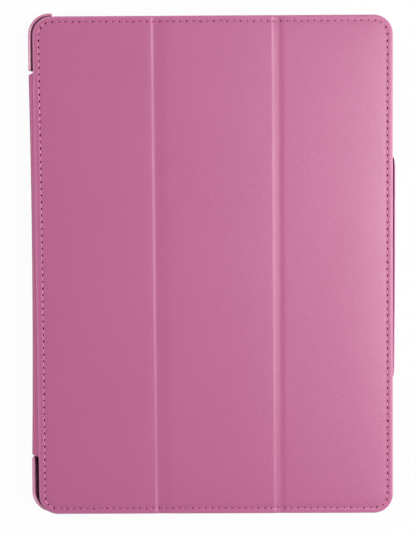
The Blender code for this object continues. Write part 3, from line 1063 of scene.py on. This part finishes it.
    def plan(self, zone: Zone, inset: float) -> tuple[np.ndarray, np.ndarray]:
        """Grid of a zone in plan, close together at the ends.

        Args:
            zone: The zone.
            inset: How far the outline is drawn in.

        Returns:
            Places across and along the cover, columns by rows.
        """
        columns = self.columns(zone, inset)
        radius = self.shape.corner_radius - inset
        side = np.minimum(columns - self.shape.left, self.shape.right - columns) - inset
        reach = self.shape.half_length - inset - quarter_round(np.maximum(side, 0.0), radius)
        near = self.edge_steps
        count = int(2 * self.shape.half_length / self.coarse_step)
        share = np.linspace(0.0, 1.0, count)[1:-1]
        length = 2.0 * reach[:, None]
        middle = near[-1] + (length - 2.0 * near[-1]) * share[None, :]
        ends = np.broadcast_to(near, (len(columns), len(near)))
        along = np.concatenate([ends, middle, length - ends[:, ::-1]], axis=1) - reach[:, None]
        across = np.broadcast_to(columns[:, None], along.shape)
        return across, along

    def skin(self, zone: Zone) -> Shape:
        """Leatherette of one zone.

        Args:
            zone: The zone.

        Returns:
            The skin, with its worn edge, the painted highlight on the folds' crisp edges and the painted
            shade along the folds marked.
        """
        x, y = self.plan(zone, 0.0)
        inset = np.maximum(self.shape.inside(x, y), 0.0)
        face = self.shape.surface(x, y)
        back = np.minimum(self.shape.underside(x, y), face - self.least_skin)
        # Painted shade along each fold line.
        crease = sum(np.exp(-(((x - fold.x) / self.crease_shade_width) ** 2)) for fold in self.shape.folds)
        # Worn pale band round the edge, joined with the painted highlight on each fold's crisp edge near
        # its ends.
        rub = np.exp(-((inset / self.rub_width) ** 2))
        for fold in self.shape.folds:
            rub = np.maximum(rub, fold.wear(x, self.shape.half_length - y, self.shape.half_length + y))
        marks = {"rub": rub, "crease": self.crease_shade_share * crease}
        front = self.shape.askew(np.stack([x, y, face], -1))
        return slab(front, self.shape.askew(np.stack([x, y, back], -1)), marks)

    def lining(self, zone: Zone) -> Shape:
        """Black lining of one zone, pressed in a little along the folds.

        Args:
            zone: The zone.

        Returns:
            The lining.
        """
        x, y = self.plan(zone, self.lining_inset)
        inset = np.maximum(self.shape.inside(x, y) - self.lining_inset, 0.0)
        crease = sum(np.exp(-(((x - fold.x) / self.lining_crease_width) ** 2)) for fold in self.shape.folds)
        low = self.shape.lining_bottom + self.lining_crease * crease
        low = low + quarter_round(inset, self.lining_roll)
        high = np.full_like(x, self.shape.skin_bottom - self.lining_gap)
        front = self.shape.askew(np.stack([x, y, high], -1))
        return slab(front, self.shape.askew(np.stack([x, y, low], -1)))

    def seam_line(self) -> tuple[np.ndarray, np.ndarray]:
        """Line of the seam, drawn square.

        Returns:
            Points of the line close together, and the length run at each.
        """
        inset = self.shape.seam_inset
        radius = self.shape.corner_radius - inset
        turn = np.linspace(0.0, math.pi / 2, 40)
        right = self.shape.right - inset - radius
        left = self.shape.left + inset + radius
        upper = self.shape.half_length - inset - radius
        corners = [(right, upper, 0.0), (left, upper, 90.0), (left, -upper, 180.0), (right, -upper, 270.0)]
        arcs = []
        for x, y, start in corners:
            angle = turn + math.radians(start)
            arcs.append(np.stack([x + radius * np.cos(angle), y + radius * np.sin(angle)], -1))
        line = np.concatenate([*arcs, arcs[0][:1]])
        line = np.concatenate([np.linspace(a, b, 12)[:-1] for a, b in zip(line, line[1:])] + [line[-1:]])
        line[:, 0] += self.shape.bow_of_seam(line[:, 0], line[:, 1])
        run = np.concatenate([[0.0], np.cumsum(np.linalg.norm(np.diff(line, axis=0), axis=1))])
        return line, run

    def zone_at(self, x: float) -> Zone:
        """Zone that a place across the cover is in."""
        return next((zone for zone, (_, high) in self.limits.items() if x < high), Zone.OUTER)

    def seam(self) -> dict[Zone, tuple[list[Shape], list[Shape]]]:
        """Stitches of the seam on the face and on the lining.

        Returns:
            For each zone, its threads and the dark lenses of painted shade at its needle holes.
        """
        line, run = self.seam_line()
        count = round(run[-1] / self.stitch_pitch)
        share = np.array([0.02, 0.08, 0.2, 0.35, 0.5, 0.62, 0.72, 0.8, 0.87, 0.93, 0.98])
        upright_lift = np.array([0.1, 0.16, 0.16, 0.1, 0.04, 0.04, 0.06, 0.1, 0.14, 0.16, 0.1]) * MM
        level_lift = np.array([-0.5, -0.5, -0.45, -0.4, -0.35, -0.2, 0.0, 0.18, 0.22, 0.05, -0.3]) * MM
        under_lift = 0.5 * MM * ease(np.minimum(share, 1.0 - share), 0.0, 0.2) - 0.35 * MM
        width = np.array([0.6, 0.8, 0.95, 1.0, 1.0, 1.0, 1.0, 1.0, 0.95, 0.8, 0.6]) * self.thread_radius
        found: dict[Zone, tuple[list[Shape], list[Shape]]] = {zone: ([], []) for zone in Zone}
        for number in range(count):
            ends = np.interp((number + np.array([0.0, 1.0])) * run[-1] / count, run, line[:, 0])
            place = number + (share if ends[1] > ends[0] else 1.0 - share)
            x = np.interp(place * run[-1] / count, run, line[:, 0])
            y = np.interp(place * run[-1] / count, run, line[:, 1])
            upright = abs(y[-1] - y[0]) / math.hypot(x[-1] - x[0], y[-1] - y[0])
            threads, holes = found[self.zone_at(float(x.mean()))]
            aside = self.stitch_swing * upright * (2.0 * share - 1.0) ** 2
            lift = upright * upright_lift + (1.0 - upright) * level_lift
            face = np.stack([x - aside, y, self.shape.surface(x - aside, y) + lift], -1)
            threads.append(tube(self.shape.askew(face), width, self.face_thread_sides))
            under = np.stack([x, y, self.shape.lining_bottom - under_lift], -1)
            threads.append(tube(self.shape.askew(under), width, self.under_thread_sides))
            start = number * run[-1] / count
            spot = np.array([np.interp(start, run, line[:, 0]), np.interp(start, run, line[:, 1])])
            spot += self.hole_stray * np.sin(number * np.array([2.4, 1.7]))
            # Dark lens of painted shade at the needle hole.
            size = np.array(self.level_hole) * (1.0 - upright) + np.array(self.upright_hole) * upright
            size = size * (1.0 + self.hole_unevenness * math.sin(3.1 * number))
            holes.append(self.needle_hole(spot, size))
            # On level runs a thin dark slit of painted shade lies along each stitch.
            if upright < 0.5:
                holes.append(self.needle_hole(np.array([x[3], y[3]]), np.array(self.slit)))
        return found

    def needle_hole(self, spot: np.ndarray, size: np.ndarray) -> Shape:
        """Painted shade of one needle hole: a dark, thin pointed lens that follows the skin.

        Args:
            spot: Its middle, drawn square.
            size: Its half width and half length.

        Returns:
            The lens.
        """
        level = np.linspace(-1.0, 1.0, 9)
        bulge = (1.0 - level**2) ** 0.8
        rim_x = spot[0] + size[0] * np.concatenate([bulge, -bulge[-2:0:-1]])
        rim_y = spot[1] + size[1] * np.concatenate([level, level[-2:0:-1]])
        rim = np.stack([rim_x, rim_y, self.shape.surface(rim_x, rim_y) + self.hole_lift], -1)
        height = float(self.shape.surface(spot[:1], spot[1:])[0])
        tips = np.array([[*spot, height + self.hole_crown], [*spot, height - self.hole_depth]])
        count = len(rim)
        faces: list[tuple[int, ...]] = []
        for i in range(count):
            ahead = (i + 1) % count
            faces += [(i, ahead, count), (ahead, i, count + 1)]
        return Shape(self.shape.askew(np.concatenate([rim, tips])), faces)


class Run(Enum):
    """Stretches of the spine's leather from the tail under the tray to the cover's edge."""

    TAIL = "spine_tail"
    BACK_BEND = "spine_back_bend"
    BACK = "spine_back"
    FRONT_BEND = "spine_front_bend"


@dataclass
class Spine:
    """Leatherette spine with its two bends and the tail glued under the tray."""

    shape: CoverShape
    workshop: Workshop
    outer_x: float = -90.35 * MM
    bow: float = 0.85 * MM
    half_length: float = 95.6 * MM
    upper_trim: float = 0.75 * MM
    end_slant: float = 1.2 * MM
    slant_width: float = 2.4 * MM
    skin: float = 0.8 * MM
    lining: float = 0.5 * MM
    glue: float = 0.06 * MM
    tail_x: float = -60.8 * MM
    tail_end: float = -87.0 * MM
    tail_z: float = 0.1 * MM
    back_radius: float = 3.0 * MM
    back_turn: float = 65.0
    front_radius: float = 1.2 * MM
    front_z: float = 11.2 * MM
    front_top: float = 13.62 * MM
    tuck: float = 0.9 * MM
    least_radius: float = 0.15 * MM

    def build(self) -> None:
        """Builds the tail, the spine, its bends and their lining."""
        back = Bend(Body.TRAY, Body.SPINE, (-87.2 * MM, 0.0, 0.3 * MM), (-89.2 * MM, 0.0, 1.57 * MM))
        front = Bend(Body.SPINE, Body.INNER, (-90.2 * MM, 0.0, 11.6 * MM), (-88.0 * MM, 0.0, 13.3 * MM))
        shop = self.workshop
        leather, lining = Finish.LEATHERETTE, Finish.LINING
        shop.fixed(Run.TAIL.value, self.layer(Run.TAIL), leather, Body.TRAY, "back_flap")
        shop.bending(Run.BACK_BEND.value, self.layer(Run.BACK_BEND), leather, back, "back_hinge_skin")
        shop.fixed(Run.BACK.value, self.layer(Run.BACK), leather, Body.SPINE, "spine_skin")
        shop.bending(Run.FRONT_BEND.value, self.layer(Run.FRONT_BEND), leather, front, "front_hinge_skin")
        inside = self.layer(Run.BACK, True)
        shop.fixed("spine_back_lining", inside, lining, Body.SPINE, "spine_lining")
        inside = self.layer(Run.FRONT_BEND, True)
        shop.bending("spine_front_bend_lining", inside, lining, front, "front_hinge_lining")

    def section(self, run: Run, y: float, depth: float) -> np.ndarray:
        """Line of one stretch of the spine in section.

        Args:
            run: The stretch.
            y: The place along the spine.
            depth: Depth under the outer face.

        Returns:
            Points (x, z) from the tail's side to the cover's side.
        """
        outer = self.outer_x + self.bow * (1.0 - (y / self.half_length) ** 2)
        if run is Run.TAIL:
            x = np.linspace(self.tail_x, self.tail_end, 12)
            return np.stack([x, np.full(12, self.tail_z + depth)], -1)
        if run is Run.FRONT_BEND:
            radius = max(self.front_radius - depth, self.least_radius)
            turn = np.radians(np.linspace(0.0, 90.0, 13))
            top = self.front_top - depth
            corner_x = outer + depth + radius * (1.0 - np.cos(turn))
            corner_z = top - radius * (1.0 - np.sin(turn))
            edge = self.shape.askew(np.array([self.shape.left, y, 0.0]))[0] + self.tuck
            flat_x = np.linspace(corner_x[-1], max(edge, corner_x[-1] + 0.2 * MM), 11)[1:]
            side_z = np.linspace(self.front_z, corner_z[0], 7)[:-1]
            x = np.concatenate([np.full(6, outer + depth), corner_x, flat_x])
            return np.stack([x, np.concatenate([side_z, corner_z, np.full(10, top)])], -1)
        degrees = (0.0, self.back_turn) if run is Run.BACK_BEND else (self.back_turn, 90.0)
        turn = np.radians(np.linspace(*degrees, 13))
        centre_z = self.tail_z + self.back_radius
        x = self.tail_end - (self.tail_end - outer - depth) * np.sin(turn)
        bend = np.stack([x, centre_z - (self.back_radius - depth) * np.cos(turn)], -1)
        if run is Run.BACK_BEND:
            return bend
        side_z = np.linspace(centre_z, self.front_z, 10)[1:]
        return np.concatenate([bend, np.stack([np.full(9, outer + depth), side_z], -1)])

    def layer(self, run: Run, inside: bool = False) -> Shape:
        """Closed strip of leather or lining along one stretch.

        Args:
            run: The stretch.
            inside: Whether it is the lining behind the leather.

        Returns:
            The strip.
        """
        depth = self.skin + self.glue if inside else 0.0
        thickness = self.lining if inside else self.skin
        places = np.concatenate([[-1.0, -0.997, -0.99], np.linspace(-0.98, 0.98, 61), [0.99, 0.997, 1.0]])
        faces = []
        for level in (depth, depth + thickness):
            rows = []
            for place in places:
                points = self.section(run, place * self.half_length, level)
                slant = 1.0 - np.clip((points[:, 0] - self.outer_x) / self.slant_width, 0.0, 1.0)
                trim = self.upper_trim if place > 0 else 0.0
                along = place * (self.half_length - trim - self.end_slant * slant)
                rows.append(np.stack([points[:, 0], along, points[:, 1]], -1))
            faces.append(np.stack(rows, 1))
        if inside:
            return slab(*faces)
        grid = faces[0].shape[:2]
        # The spine has no worn edge or painted highlight, and carries a flat share of the painted crease
        # shade all over.
        return slab(*faces, {"rub": np.zeros(grid), "crease": np.full(grid, 0.15)})


@dataclass(frozen=True)
class WallEnd:
    """Form of the tray's edge at one place: how far in its two faces stand, its height, bead and tilt."""

    outer: float
    inner: float
    top: float
    bead: float
    tilt: float


@dataclass(frozen=True)
class WallRun:
    """One wall of the tray: where it stands on the outline, its thickness, and how it ends."""

    start: float
    end: float
    thickness: float
    top: float
    bead: float
    end_cut: float
    cut_length: float
    bow: float = 0.0
    tilt: float = 0.0
    end_round: float = 0.7 * MM

    def form(self, run: float) -> WallEnd:
        """Form of the wall at a place, rounded off towards its ends.

        Args:
            run: The place on the outline.

        Returns:
            The wall's form.
        """
        left = min(run - self.start, self.end - run)
        fall = float(quarter_round(np.array(left), self.end_round))
        short = max(0.0, 1.0 - left / self.cut_length)
        outer = self.end_cut * (1.0 - math.sqrt(1.0 - short * short))
        middle = (self.start + self.end) / 2
        outer -= self.bow * math.cos(math.pi * (run - middle) / (self.end - self.start)) ** 2
        inner = max(self.thickness - 0.2 * fall, outer + 0.45 * MM)
        bead = self.bead * float(ease(np.array(left), 1.2 * MM, 4.0 * MM))
        return WallEnd(outer, inner, self.top - fall, bead, self.tilt)


@dataclass
class Tray:
    """Moulded tray: a back with two corner walls and a side tab, and the soft pad on its floor."""

    workshop: Workshop
    nodes: dict[str, bpy.types.Object]
    corner_radius: float = 10.5 * MM
    wall: float = 1.4 * MM
    corner_rise: float = 0.4 * MM
    corner_lap: float = 1.5 * MM
    corner_tilt: float = 14.0
    foot: float = 3.0 * MM
    floor_z: float = 1.8 * MM
    floor_radius: float = 1.2 * MM
    open_inset: float = 1.8 * MM
    spine_inset: float = 3.8 * MM
    spine_half: float = 95.9 * MM
    tab_half: float = 55.4 * MM
    tab_shift: float = -2.0 * MM
    tab_wall: float = 0.8 * MM
    tab_bow: float = 0.25 * MM
    bead_top: float = 9.9 * MM
    bead_bottom: float = 8.6 * MM
    ring_inset: float = 8.0 * MM
    window_size: tuple[float, float] = (20 * MM, 12 * MM)
    window_place: tuple[float, float] = (70.6 * MM, 109.1 * MM)
    window_round: float = 0.35 * MM
    tail_recess: tuple[float, float, float] = (-60.65 * MM, 95.75 * MM, 1.0 * MM)

    def build(self) -> None:
        """Builds the moulding, cuts its window and recess, and dresses the pad."""
        low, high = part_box("back_shell")
        self.half_width, self.half_length, self.top = high.x, -low.y, high.z
        moulding = self.workshop.piece("tray_moulding", self.moulding(), Finish.PLASTIC)
        self.workshop.carve(moulding, [self.window_cutter(), self.recess_cutter()])
        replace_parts(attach(moulding, Body.TRAY.value), "back_shell")
        self.workshop.dress(self.nodes["tray_liner"], Finish.LINING)

    def outline(self, run: np.ndarray) -> tuple[np.ndarray, np.ndarray]:
        """Outer outline of the tray.

        Args:
            run: Lengths round the outline, from the middle of the tab and anticlockwise.

        Returns:
            Points of the outline and outward directions there.
        """
        radius = self.corner_radius
        across, along = self.half_width - radius, self.half_length - radius
        bend = radius * math.pi / 2
        legs = [along, bend, 2 * across, bend, 2 * along, bend, 2 * across, bend, along]
        knots = np.concatenate([[0.0], np.cumsum(legs)])
        run = np.mod(run, knots[-1])
        turns = np.array([0.0, 0.0, 90.0, 90.0, 180.0, 180.0, 270.0, 270.0, 360.0, 360.0])
        angle = np.radians(np.interp(run, knots, turns))
        sides_x = np.array([1, 1, 1, -1, -1, -1, -1, 1, 1, 1]) * across
        sides_y = np.array([0, 1, 1, 1, 1, -1, -1, -1, -1, 0]) * along
        centre_x = np.interp(run, knots, sides_x)
        centre_y = np.interp(run, knots, sides_y)
        facing = np.stack([np.cos(angle), np.sin(angle)], -1)
        return np.stack([centre_x, centre_y], -1) + radius * facing, facing

    def stations(self) -> list[tuple[float, WallEnd | float]]:
        """Places round the outline at which the edge has a section.

        Returns:
            The run at each place, and there either the wall's form or the inset of an open edge.
        """
        radius = self.corner_radius
        across, along = self.half_width - radius, self.half_length - radius
        bend = radius * math.pi / 2
        top_left = along + bend + 2 * across
        lower_left = top_left + bend + 2 * along
        lap = 4 * along + 4 * across + 4 * bend
        spine = top_left + bend + along
        top = self.top + self.corner_rise
        tab = (self.tab_shift - self.tab_half, self.tab_shift + self.tab_half)
        side = {"thickness": self.tab_wall, "top": self.top, "bow": self.tab_bow}
        corner = {"thickness": self.wall, "top": top, "tilt": self.corner_tilt}
        upper = (top_left - self.corner_lap, spine - self.spine_half)
        lower = (spine + self.spine_half, lower_left + bend)
        walls = [
            WallRun(*tab, **side, bead=1.2 * MM, end_cut=1.35 * MM, cut_length=7.5 * MM),
            WallRun(*upper, **corner, bead=1.2 * MM, end_cut=0.35 * MM, cut_length=0.5 * MM),
            WallRun(*lower, **corner, bead=0.35 * MM, end_cut=1.1 * MM, cut_length=1.3 * MM),
        ]
        near = np.array([0.0, 0.04, 0.12, 0.24, 0.4, 0.6, 0.9, 1.3, 1.8, 2.4, 3.1, 4.0]) * MM
        found: list[tuple[float, WallEnd | float]] = []
        for number, wall in enumerate(walls):
            count = 4 + int((wall.end - wall.start) / (1.2 * MM))
            inside = np.linspace(wall.start + near[-1], wall.end - near[-1], count)
            for run in np.unique(np.concatenate([wall.start + near, inside, wall.end - near])):
                found.append((float(run), wall.form(float(run))))
            follow = walls[number + 1].start if number < 2 else walls[0].start + lap
            inset = self.spine_inset if number == 1 else self.open_inset
            gap = 0.03 * MM
            count = 4 + int((follow - wall.end) / (1.8 * MM))
            for run in np.linspace(wall.end + gap, follow - gap, count):
                found.append((float(run), inset))
        return found

    def wall_section(self, form: WallEnd) -> np.ndarray:
        """Section of a wall from the back to the floor.

        Args:
            form: The wall's form.

        Returns:
            Points (distance in from the outline, height).
        """
        turn = np.radians(np.linspace(0.0, 90.0, 9))
        foot = np.stack(
            [self.foot - (self.foot - form.outer) * np.sin(turn), self.foot * (1.0 - np.cos(turn))], -1
        )
        rim = self.rim_section(form)
        share = np.linspace(0.0, 1.0, 9)
        swell = form.inner + form.bead * np.sin(math.pi * share) ** 0.7
        bead_top = min(self.bead_top, rim[-1, 1] - 0.1 * MM)
        bead = np.stack([swell, bead_top + (self.bead_bottom - bead_top) * share], -1)
        turn = np.radians(np.linspace(0.0, 90.0, 7))
        fillet = np.stack(
            [
                form.inner + self.floor_radius * (1.0 - np.cos(turn)),
                self.floor_z + self.floor_radius * (1.0 - np.sin(turn)),
            ],
            -1,
        )
        return np.concatenate([foot, rim, bead, fillet])

    def rim_section(self, form: WallEnd) -> np.ndarray:
        """Section of a wall's rim: a flat top that may tilt inwards, with two rounded edges.

        Args:
            form: The wall's form.

        Returns:
            Points (distance in from the outline, height) from the outer face to the inner one.
        """
        thick = form.inner - form.outer
        outer_radius, inner_radius = min(0.25 * MM, 0.3 * thick), min(0.45 * MM, 0.45 * thick)
        tilt = math.radians(form.tilt)
        turn = np.linspace(0.0, math.pi / 2 + tilt, 7)
        outer_x = form.outer + outer_radius * (1.0 - np.cos(turn))
        outer_z = form.top - outer_radius * (1.0 - np.sin(turn))
        turn = np.linspace(math.pi / 2 - tilt, 0.0, 6)
        inner_x = form.inner - inner_radius * (1.0 - np.cos(turn))
        level = outer_z[-1] - (inner_x[0] - outer_x[-1]) * math.tan(tilt)
        inner_z = level + inner_radius * (np.sin(turn) - math.cos(tilt))
        return np.concatenate([np.stack([outer_x, outer_z], -1), np.stack([inner_x, inner_z], -1)])

    def open_section(self, inset: float) -> np.ndarray:
        """Section of an open edge from the back to the floor.

        Args:
            inset: How far in the edge stands.

        Returns:
            Points (distance in from the outline, height), as many as a wall has.
        """
        turn = np.radians(np.linspace(0.0, 90.0, 9))
        foot = np.stack([inset + 1.2 * MM * (1.0 - np.sin(turn)), 0.5 * MM * (1.0 - np.cos(turn))], -1)
        turn = np.radians(np.linspace(0.0, 90.0, 13))
        lip = np.stack(
            [inset + 0.6 * MM * (1.0 - np.cos(turn)), self.floor_z - 0.6 * MM * (1.0 - np.sin(turn))], -1
        )
        level = inset + np.linspace(0.7 * MM, 2.6 * MM, 16)
        return np.concatenate([foot, lip, np.stack([level, np.full(16, self.floor_z)], -1)])

    def moulding(self) -> Shape:
        """The tray's back and walls as one closed moulding.

        Returns:
            The moulding, before its window and recess are cut.
        """
        runs, forms = zip(*self.stations())
        points, facing = self.outline(np.array(runs))
        sections = []
        for form in forms:
            section = self.wall_section(form) if isinstance(form, WallEnd) else self.open_section(form)
            ends = np.array([[self.ring_inset, 0.0], [self.ring_inset, self.floor_z]])
            sections.append(np.concatenate([ends[:1], section, ends[1:]]))
        sections = np.stack(sections, 1)
        plan = points[None] - sections[..., :1] * facing[None]
        return loft(np.concatenate([plan, sections[..., 1:]], -1))

    def window_cutter(self) -> Shape:
        """Round-ended camera window through the back, with its rims broken.

        Returns:
            What is cut away.
        """
        half_x, half_y = self.window_size[0] / 2, self.window_size[1] / 2
        turn = np.linspace(-math.pi / 2, math.pi / 2, 25)
        spare, broken = 1.0 * MM, self.window_round
        levels = [
            (-spare, spare),
            (0.0, 0.0),
            (broken, -broken),
            (self.floor_z - broken, -broken),
            (self.floor_z, 0.0),
            (self.floor_z + spare, spare),
        ]
        rings = []
        for height, grow in levels:
            radius = half_y + broken + grow
            reach = half_x - half_y
            x = np.concatenate([reach + radius * np.cos(turn), -reach - radius * np.cos(turn)])
            y = np.concatenate([radius * np.sin(turn), -radius * np.sin(turn)])
            plan = (x + self.window_place[0], y + self.window_place[1], np.full_like(x, height))
            rings.append(np.stack(plan, -1))
        return loft(np.stack(rings))

    def recess_cutter(self) -> Shape:
        """Shallow recess in the back for the spine's tail.

        Returns:
            What is cut away.
        """
        right, half, depth = self.tail_recess
        left = -self.half_width - 5 * MM
        corners = np.array([[left, -half], [right, -half], [right, half], [left, half]])
        rings = [np.column_stack([corners, np.full(4, z)]) for z in (-1.0 * MM, depth)]
        return loft(np.stack(rings))


@dataclass
class Inserts:
    """Boards and magnets hidden in the cover."""

    workshop: Workshop
    nodes: dict[str, bpy.types.Object]

    def build(self) -> None:
        """Dresses the boards and the magnets."""
        for name, node in self.nodes.items():
            if name.endswith("_board"):
                self.workshop.dress(node, Finish.BOARD)
            elif "magnet" in name:
                self.workshop.dress(node, Finish.MAGNET)


@dataclass
class Studio:
    """Camera, lights and floor."""

    lens: float = 95.03
    image_side: float = 36.0
    camera_place: tuple[float, float, float] = (2.04 * MM, 40.96 * MM, 710.1 * MM)
    camera_turn: tuple[float, float, float] = (-3.44, 0.324, -0.124)
    floor_half: float = 4.0
    daylight: float = 0.15
    floor_gap: float = 0.2 * MM
    floor_white: float = 0.9
    floor_clear: float = 0.95

    def build(self) -> None:
        """Sets up the whole studio."""
        scene = bpy.context.scene
        scene.view_settings.view_transform = "Standard"
        self.camera(scene)
        self.floor(scene)
        self.world(scene)
        self.lamp(scene, "key_softbox", (0.0, 62.0, 0.6), 0.35, 1.55)
        self.lamp(scene, "low_strip", (0.0, 18.0, 1.0), 0.3, 5.2)
        self.lamp(scene, "upper_softbox", (40.0, 60.0, 1.0), 0.6, 1.8)
        self.lamp(scene, "back_softbox", (120.0, 30.0, 1.0), 0.4, 2.0)
        self.lamp(scene, "front_softbox", (-45.0, 50.0, 1.0), 0.5, 0.8)
        self.lamp(scene, "left_fill", (180.0, 40.0, 1.0), 0.5, 2.0)
        self.lamp(scene, "under_fill", (20.0, -65.0, 1.0), 0.6, 3.0)

    def camera(self, scene: bpy.types.Scene) -> None:
        """Camera at the photograph's place.

        Args:
            scene: The scene.
        """
        data = bpy.data.cameras.new("camera")
        data.lens = self.lens
        data.sensor_fit = "VERTICAL"
        data.sensor_height = self.image_side
        data.clip_start = 0.01
        data.clip_end = 50.0
        made = bpy.data.objects.new("camera", data)
        made.location = self.camera_place
        made.rotation_euler = [math.radians(turn) for turn in self.camera_turn]
        scene.collection.objects.link(made)
        scene.camera = made

    def lamp(
        self,
        scene: bpy.types.Scene,
        name: str,
        place: tuple[float, float, float],
        side: float,
        power: float,
    ) -> None:
        """Square softbox that faces the case.

        Args:
            scene: The scene.
            name: The lamp's name.
            place: Its bearing from the case's right and its height, in degrees, and its distance.
            side: Length of its side.
            power: Its power in watts.
        """
        data = bpy.data.lights.new(name, "AREA")
        data.size = side
        data.energy = power
        made = bpy.data.objects.new(name, data)
        bearing, height = math.radians(place[0]), math.radians(place[1])
        flat = math.cos(height)
        toward = Vector((flat * math.cos(bearing), flat * math.sin(bearing), math.sin(height)))
        made.location = toward * place[2]
        made.rotation_euler = (-made.location).to_track_quat("-Z", "Y").to_euler()
        scene.collection.objects.link(made)

    def world(self, scene: bpy.types.Scene) -> None:
        """Even daylight that the camera sees as white.

        Args:
            scene: The scene.
        """
        world = bpy.data.worlds.new("daylight")
        world.use_nodes = True
        tree = world.node_tree
        tree.nodes.clear()
        seen = tree.nodes.new("ShaderNodeBackground")
        seen.inputs["Color"].default_value = (1.0, 1.0, 1.0, 1.0)
        seen.inputs["Strength"].default_value = 1.0
        light = tree.nodes.new("ShaderNodeBackground")
        light.inputs["Color"].default_value = (1.0, 1.0, 1.0, 1.0)
        light.inputs["Strength"].default_value = self.daylight
        mix = tree.nodes.new("ShaderNodeMixShader")
        output = tree.nodes.new("ShaderNodeOutputWorld")
        tree.links.new(self.seeing_rays(tree), mix.inputs[0])
        tree.links.new(light.outputs[0], mix.inputs[1])
        tree.links.new(seen.outputs[0], mix.inputs[2])
        tree.links.new(mix.outputs[0], output.inputs["Surface"])
        scene.world = world

    def seeing_rays(self, tree: bpy.types.NodeTree) -> bpy.types.NodeSocket:
        """Adds a value that is 1 for the rays that see the background, straight or in a glossy face.

        Args:
            tree: The node tree that it is added to.

        Returns:
            The value.
        """
        rays = tree.nodes.new("ShaderNodeLightPath").outputs
        straight = self.larger(tree, rays["Is Camera Ray"], rays["Is Glossy Ray"])
        return self.larger(tree, straight, rays["Is Transmission Ray"])

    def larger(
        self,
        tree: bpy.types.NodeTree,
        first: bpy.types.NodeSocket,
        second: bpy.types.NodeSocket,
    ) -> bpy.types.NodeSocket:
        """Adds the larger of two values.

        Args:
            tree: The node tree that it is added to.
            first, second: The values.

        Returns:
            The larger value.
        """
        node = tree.nodes.new("ShaderNodeMath")
        node.operation = "MAXIMUM"
        tree.links.new(first, node.inputs[0])
        tree.links.new(second, node.inputs[1])
        return node.outputs[0]

    def floor(self, scene: bpy.types.Scene) -> None:
        """White sweep under the case, which keeps a faint shadow.

        Args:
            scene: The scene.
        """
        half = self.floor_half
        corners = [(-half, -half, 0.0), (half, -half, 0.0), (half, half, 0.0), (-half, half, 0.0)]
        mesh = bpy.data.meshes.new("floor")
        mesh.from_pydata(corners, [], [(0, 1, 2, 3)])
        mesh.materials.append(self.floor_paint())
        made = bpy.data.objects.new("floor", mesh)
        made.location.z = -self.floor_gap
        scene.collection.objects.link(made)

    def floor_paint(self) -> bpy.types.Material:
        """White paper that is mostly clear to the camera and to the lamps.

        The white background shows through it with a faint shadow, and so does the cover where an
        opened case hangs below the floor.

        Returns:
            The paint.
        """
        material = bpy.data.materials.new("white_paper")
        material.use_nodes = True
        tree = material.node_tree
        tree.nodes.clear()
        paper = tree.nodes.new("ShaderNodeBsdfDiffuse")
        paper.inputs["Color"].default_value = (*[self.floor_white] * 3, 1.0)
        clear = tree.nodes.new("ShaderNodeBsdfTransparent")
        shadow = tree.nodes.new("ShaderNodeLightPath").outputs["Is Shadow Ray"]
        passing = self.larger(tree, self.seeing_rays(tree), shadow)
        share = tree.nodes.new("ShaderNodeMath")
        share.operation = "MULTIPLY"
        share.inputs[1].default_value = self.floor_clear
        mix = tree.nodes.new("ShaderNodeMixShader")
        output = tree.nodes.new("ShaderNodeOutputMaterial")
        tree.links.new(passing, share.inputs[0])
        tree.links.new(share.outputs[0], mix.inputs[0])
        tree.links.new(paper.outputs[0], mix.inputs[1])
        tree.links.new(clear.outputs[0], mix.inputs[2])
        tree.links.new(mix.outputs[0], output.inputs["Surface"])
        return material


def main() -> None:
    """Builds the case round its frame, and the studio round the case."""
    logging.basicConfig(level=logging.INFO, format="%(name)s: %(message)s")
    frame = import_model()
    Studio().build()
    workshop = Workshop()
    shape = CoverShape.from_frame(frame["joints"])
    Cover(shape, workshop).build()
    Spine(shape, workshop).build()
    Tray(workshop, frame["nodes"]).build()
    Inserts(workshop, frame["nodes"]).build()


if __name__ == "__main__":
    main()
